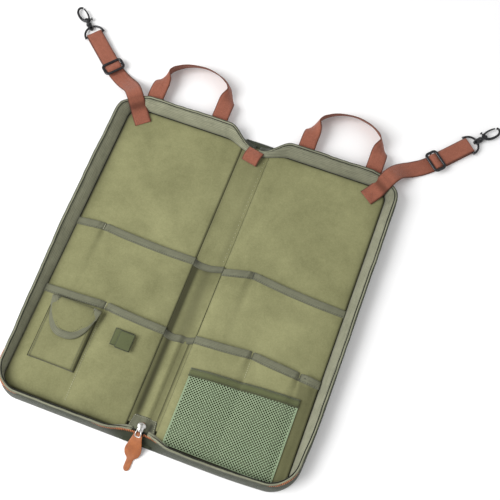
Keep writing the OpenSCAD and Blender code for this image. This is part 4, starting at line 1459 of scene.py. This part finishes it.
sliderShape = {  # two shoulders at the far end, a waist, then a narrow mouth
    "half": [(0.6, -211.6), (2.4, -212.2), (4.4, -213.0), (5.7, -214.6), (5.6, -216.6), (4.6, -218.6), (4.2, -220.6),
        (4.6, -222.4), (4.0, -223.8), (2.0, -224.4)],
    "bridge": [(-213.8, 2.6), (-214.6, 4.6), (-216.6, 6.1), (-219.5, 6.8), (-222.4, 6.6), (-224.0, 5.2), (-224.2, 2.8)],
    "link": [(0, -221.4, 17.6), (2.2, -222.6, 18.0), (3.4, -225.6, 18.2), (3.6, -229.2, 16.4), (2.4, -231.0, 15.2)],
}


def makeSlider():
    top = zipEnd["chainZ"]
    half = sliderShape["half"]
    outline = half + [(-x, y) for x, y in reversed(half)]
    upper = roundedPlate("sliderTop", outline, lambda x, y: top + 1.4, 1.7, sliderMetal, 1.2, 0.7)
    under = roundedPlate("sliderUnder", outline, lambda x, y: top - 3.0, 1.5, sliderMetal, 0.2, 0.7)
    post = tube("sliderPost", [Vector((0, -213.6, top + z)) for z in (-2.4, 0, 2.2)], 1.3, sliderMetal, 12)
    bridge = [Vector((0, y, top + z)) for y, z in sliderShape["bridge"]]
    bail = tube("sliderBail", spline(bridge, 4), 1.25, sliderMetal, 12)
    slider = joined("zipSliderBody", [upper, under, post, bail])
    attach(slider, "zip_slider", "slider_metal", "zip_slider")
    link = [Vector(p) for p in sliderShape["link"]]
    link += [Vector((-p.x, p.y, p.z)) for p in reversed(link[1:])]
    ring = tube("pullRing", spline(link + [link[0]], 4)[:-1], 0.85, sliderMetal, 10, closed=True)
    attach(ring, "zip_pull", "slider_metal", "zip_pull_tab")


pull = {
    "centre": -248.0, "radius": 11.3, "end": -275.2, "tail": 4.2, "top": -226.6,
    "stitches": [(5.6, -229), (6.6, -233), (8.2, -238), (9.6, -242), (10.3, -247), (9.4, -252), (7.4, -256)],
}


def pullHeight(x, y):  # the pull falls from the slider to the floor
    return 1.0 + 14.2 * smooth(-262, -225, y) - 0.5 * bell(x, 6) * smooth(-240, -228, y)


def makePull():
    centre, r = pull["centre"], pull["radius"]
    right = [(0, pull["top"] + 1.0), (2.6, pull["top"] + 0.8), (5.0, pull["top"]), (5.9, pull["top"] - 2.0), (7.2, -234),
        (9.0, -239)]
    right += [(r * math.cos(a), centre + r * math.sin(a)) for a in (math.radians(28 - 9.8 * k) for k in range(10))]
    right += [(pull["tail"] + 0.7, centre - 11.0), (pull["tail"], centre - 12.4), (pull["tail"], -263),
        (pull["tail"], pull["end"] + pull["tail"])]
    right += [(pull["tail"] * math.cos(a), pull["end"] + pull["tail"] + pull["tail"] * math.sin(a))
        for a in (math.radians(-15 * k) for k in range(1, 7))]
    count, rows = 12, []
    for reach, y in right:
        across = [mix(reach, -reach, j / count) for j in range(count + 1)]
        crown = [0.35 * (1 - abs(2 * j / count - 1) ** 4) for j in range(count + 1)]
        rows.append([Vector((x, y, pullHeight(x, y) + rise)) for x, rise in zip(across, crown)])
    piece = thicken(upwards(gridPiece("leatherPull", rows, leatherFinish)), 2.0, 0.0)
    bevel = piece.modifiers.new("softEdge", "BEVEL")
    bevel.width, bevel.segments, bevel.angle_limit = 0.0006, 2, math.radians(50)
    piece = settle(piece)
    attach(piece, "zip_pull", "leather", "zip_pull")
    paths = []
    for side in (-1, 1):
        paths.append([Vector((side * (x - 1.5), y, pullHeight(x, y) + 1.25)) for x, y in pull["stitches"]])
    sew("pullStitches", "zip_pull", "brown", paths, "pull")


zipEndStitches = makeZipEnd()
makeSlider()
makePull()
print("zip end made")


# stitching


def overPocket(side, level, points, lift=0.3):
    return [Vector((side * x, y, clothHeight(side, level, x, y)[0] + lift)) for x, y in points]


def makeStitching():
    for side in (-1, 1):
        name = names[side]
        rows = curveFrom(name + "BindingStitchesRows", bindingStitches[side])
        piece = grown(name + "BindingStitches", rows, stitchTrees["dark"], stitchSizes["binding"])
        bendAtFold(piece)
        kx, ky = pockets[side, "lower"]["mouth"][1]
        rows = [overPocket(side, "lower", [(kx + 0.03 * side * s, ky - 11 - s * 1.5)
            for s in range(18 if side > 0 else 90)])]
        sew(name + "DivisionStitches", name + "_half", "pale", rows)
        sew(name + "StrapStitches", name + "_half", "brown", strapBoxes[side], "strap")
        tacks = []
        for level in ("upper", "lower"):
            for kx, ky in pockets[side, level]["mouth"][1:-1]:
                tacks.append(overPocket(side, level, [(kx + 0.2, ky - 1.5 - s * 0.8) for s in range(11)], 1.1))
        pale = side < 0
        sew(name + "TackStitches", name + "_half", "pale" if pale else "dark", tacks, "tack")
        if side > 0:
            seam = [Vector((17.0, mix(40, 205, s / 60), 6.4)) for s in range(61)]
            sew("spineSeamStitches", "spine", "pale", [seam], "spine")
        tapeRow = [flip(side, w["seam"] + (w["rim"] - w["seam"]) * 0.86 + Vector((0, 0, 0.8)) - w["out"] * 0.6)
            for w in walls[side] if w["rim"].x > 9 or w["rim"].y > 0]
        piece = grown(name + "TapeStitches", curveFrom(name + "TapeRow", [tapeRow]), stitchTrees["tape"],
            stitchSizes["usual"])
        foldBlend(piece)
    sew("flapStitches", "pouch_flap", "dark", flapStitches)
    sew("hemStitches", "right_half", "dark", hemStitches)
    sew("zipEndStitches", "spine", "pale", zipEndStitches, "zipEnd")
    (x0, x1), (y0, y1) = pouch["x"], pouch["y"]
    rows = [[Vector((-x, y0 + 1.6, pouchHeight(x, y0 + 1.6) + 0.2))
        for x in (mix(x0 + 2, x1 - 2, s / 40) for s in range(41))]]
    for x in (x0 + 5.2, x1 - 5.2):
        rows.append([Vector((-x, y, pouchHeight(x, y) + 0.25)) for y in (mix(y0 + 4, y1 - 8, s / 40) for s in range(41))])
    sew("pouchStitches", "left_half", "green", rows)


makeStitching()
print("stitching made")


# floor and light

studio = {"floor": (0.97, 0.97, 0.97, 1), "world": 0.6}


def makeStudio():
    finish = Finish("paleFloor")
    finish.shade("Base Color", finish.colour(finish.cloud(4.0), (0.92, 0.92, 0.92, 1), studio["floor"]))
    finish.shade("Roughness", 0.8)
    finish.shade("Specular IOR Level", 0.1)
    data = bpy.data.meshes.new("floor")
    data.from_pydata([(-6, -6, 0), (6, -6, 0), (6, 6, 0), (-6, 6, 0)], [], [(0, 1, 2, 3)])
    addObject("floor", data, finish.material)
    world = bpy.data.worlds.new("studio")
    world.use_nodes = True
    world.node_tree.nodes["Background"].inputs[0].default_value = (1, 1, 1, 1)
    world.node_tree.nodes["Background"].inputs[1].default_value = studio["world"]
    bpy.context.scene.world = world
    for name, place, size, power in (("key", (-1.1, -0.7, 1.45), 1.3, 39), ("fill", (1.4, 0.6, 2.0), 2.0, 5)):
        lamp = bpy.data.lights.new(name, "AREA")
        lamp.size, lamp.energy = size, power
        made = addObject(name, lamp)
        made.location = place
        made.rotation_euler = Vector(place).to_track_quat("Z", "Y").to_euler()
    bpy.context.scene.view_settings.view_transform = "Standard"


makeStudio()
print("studio made")
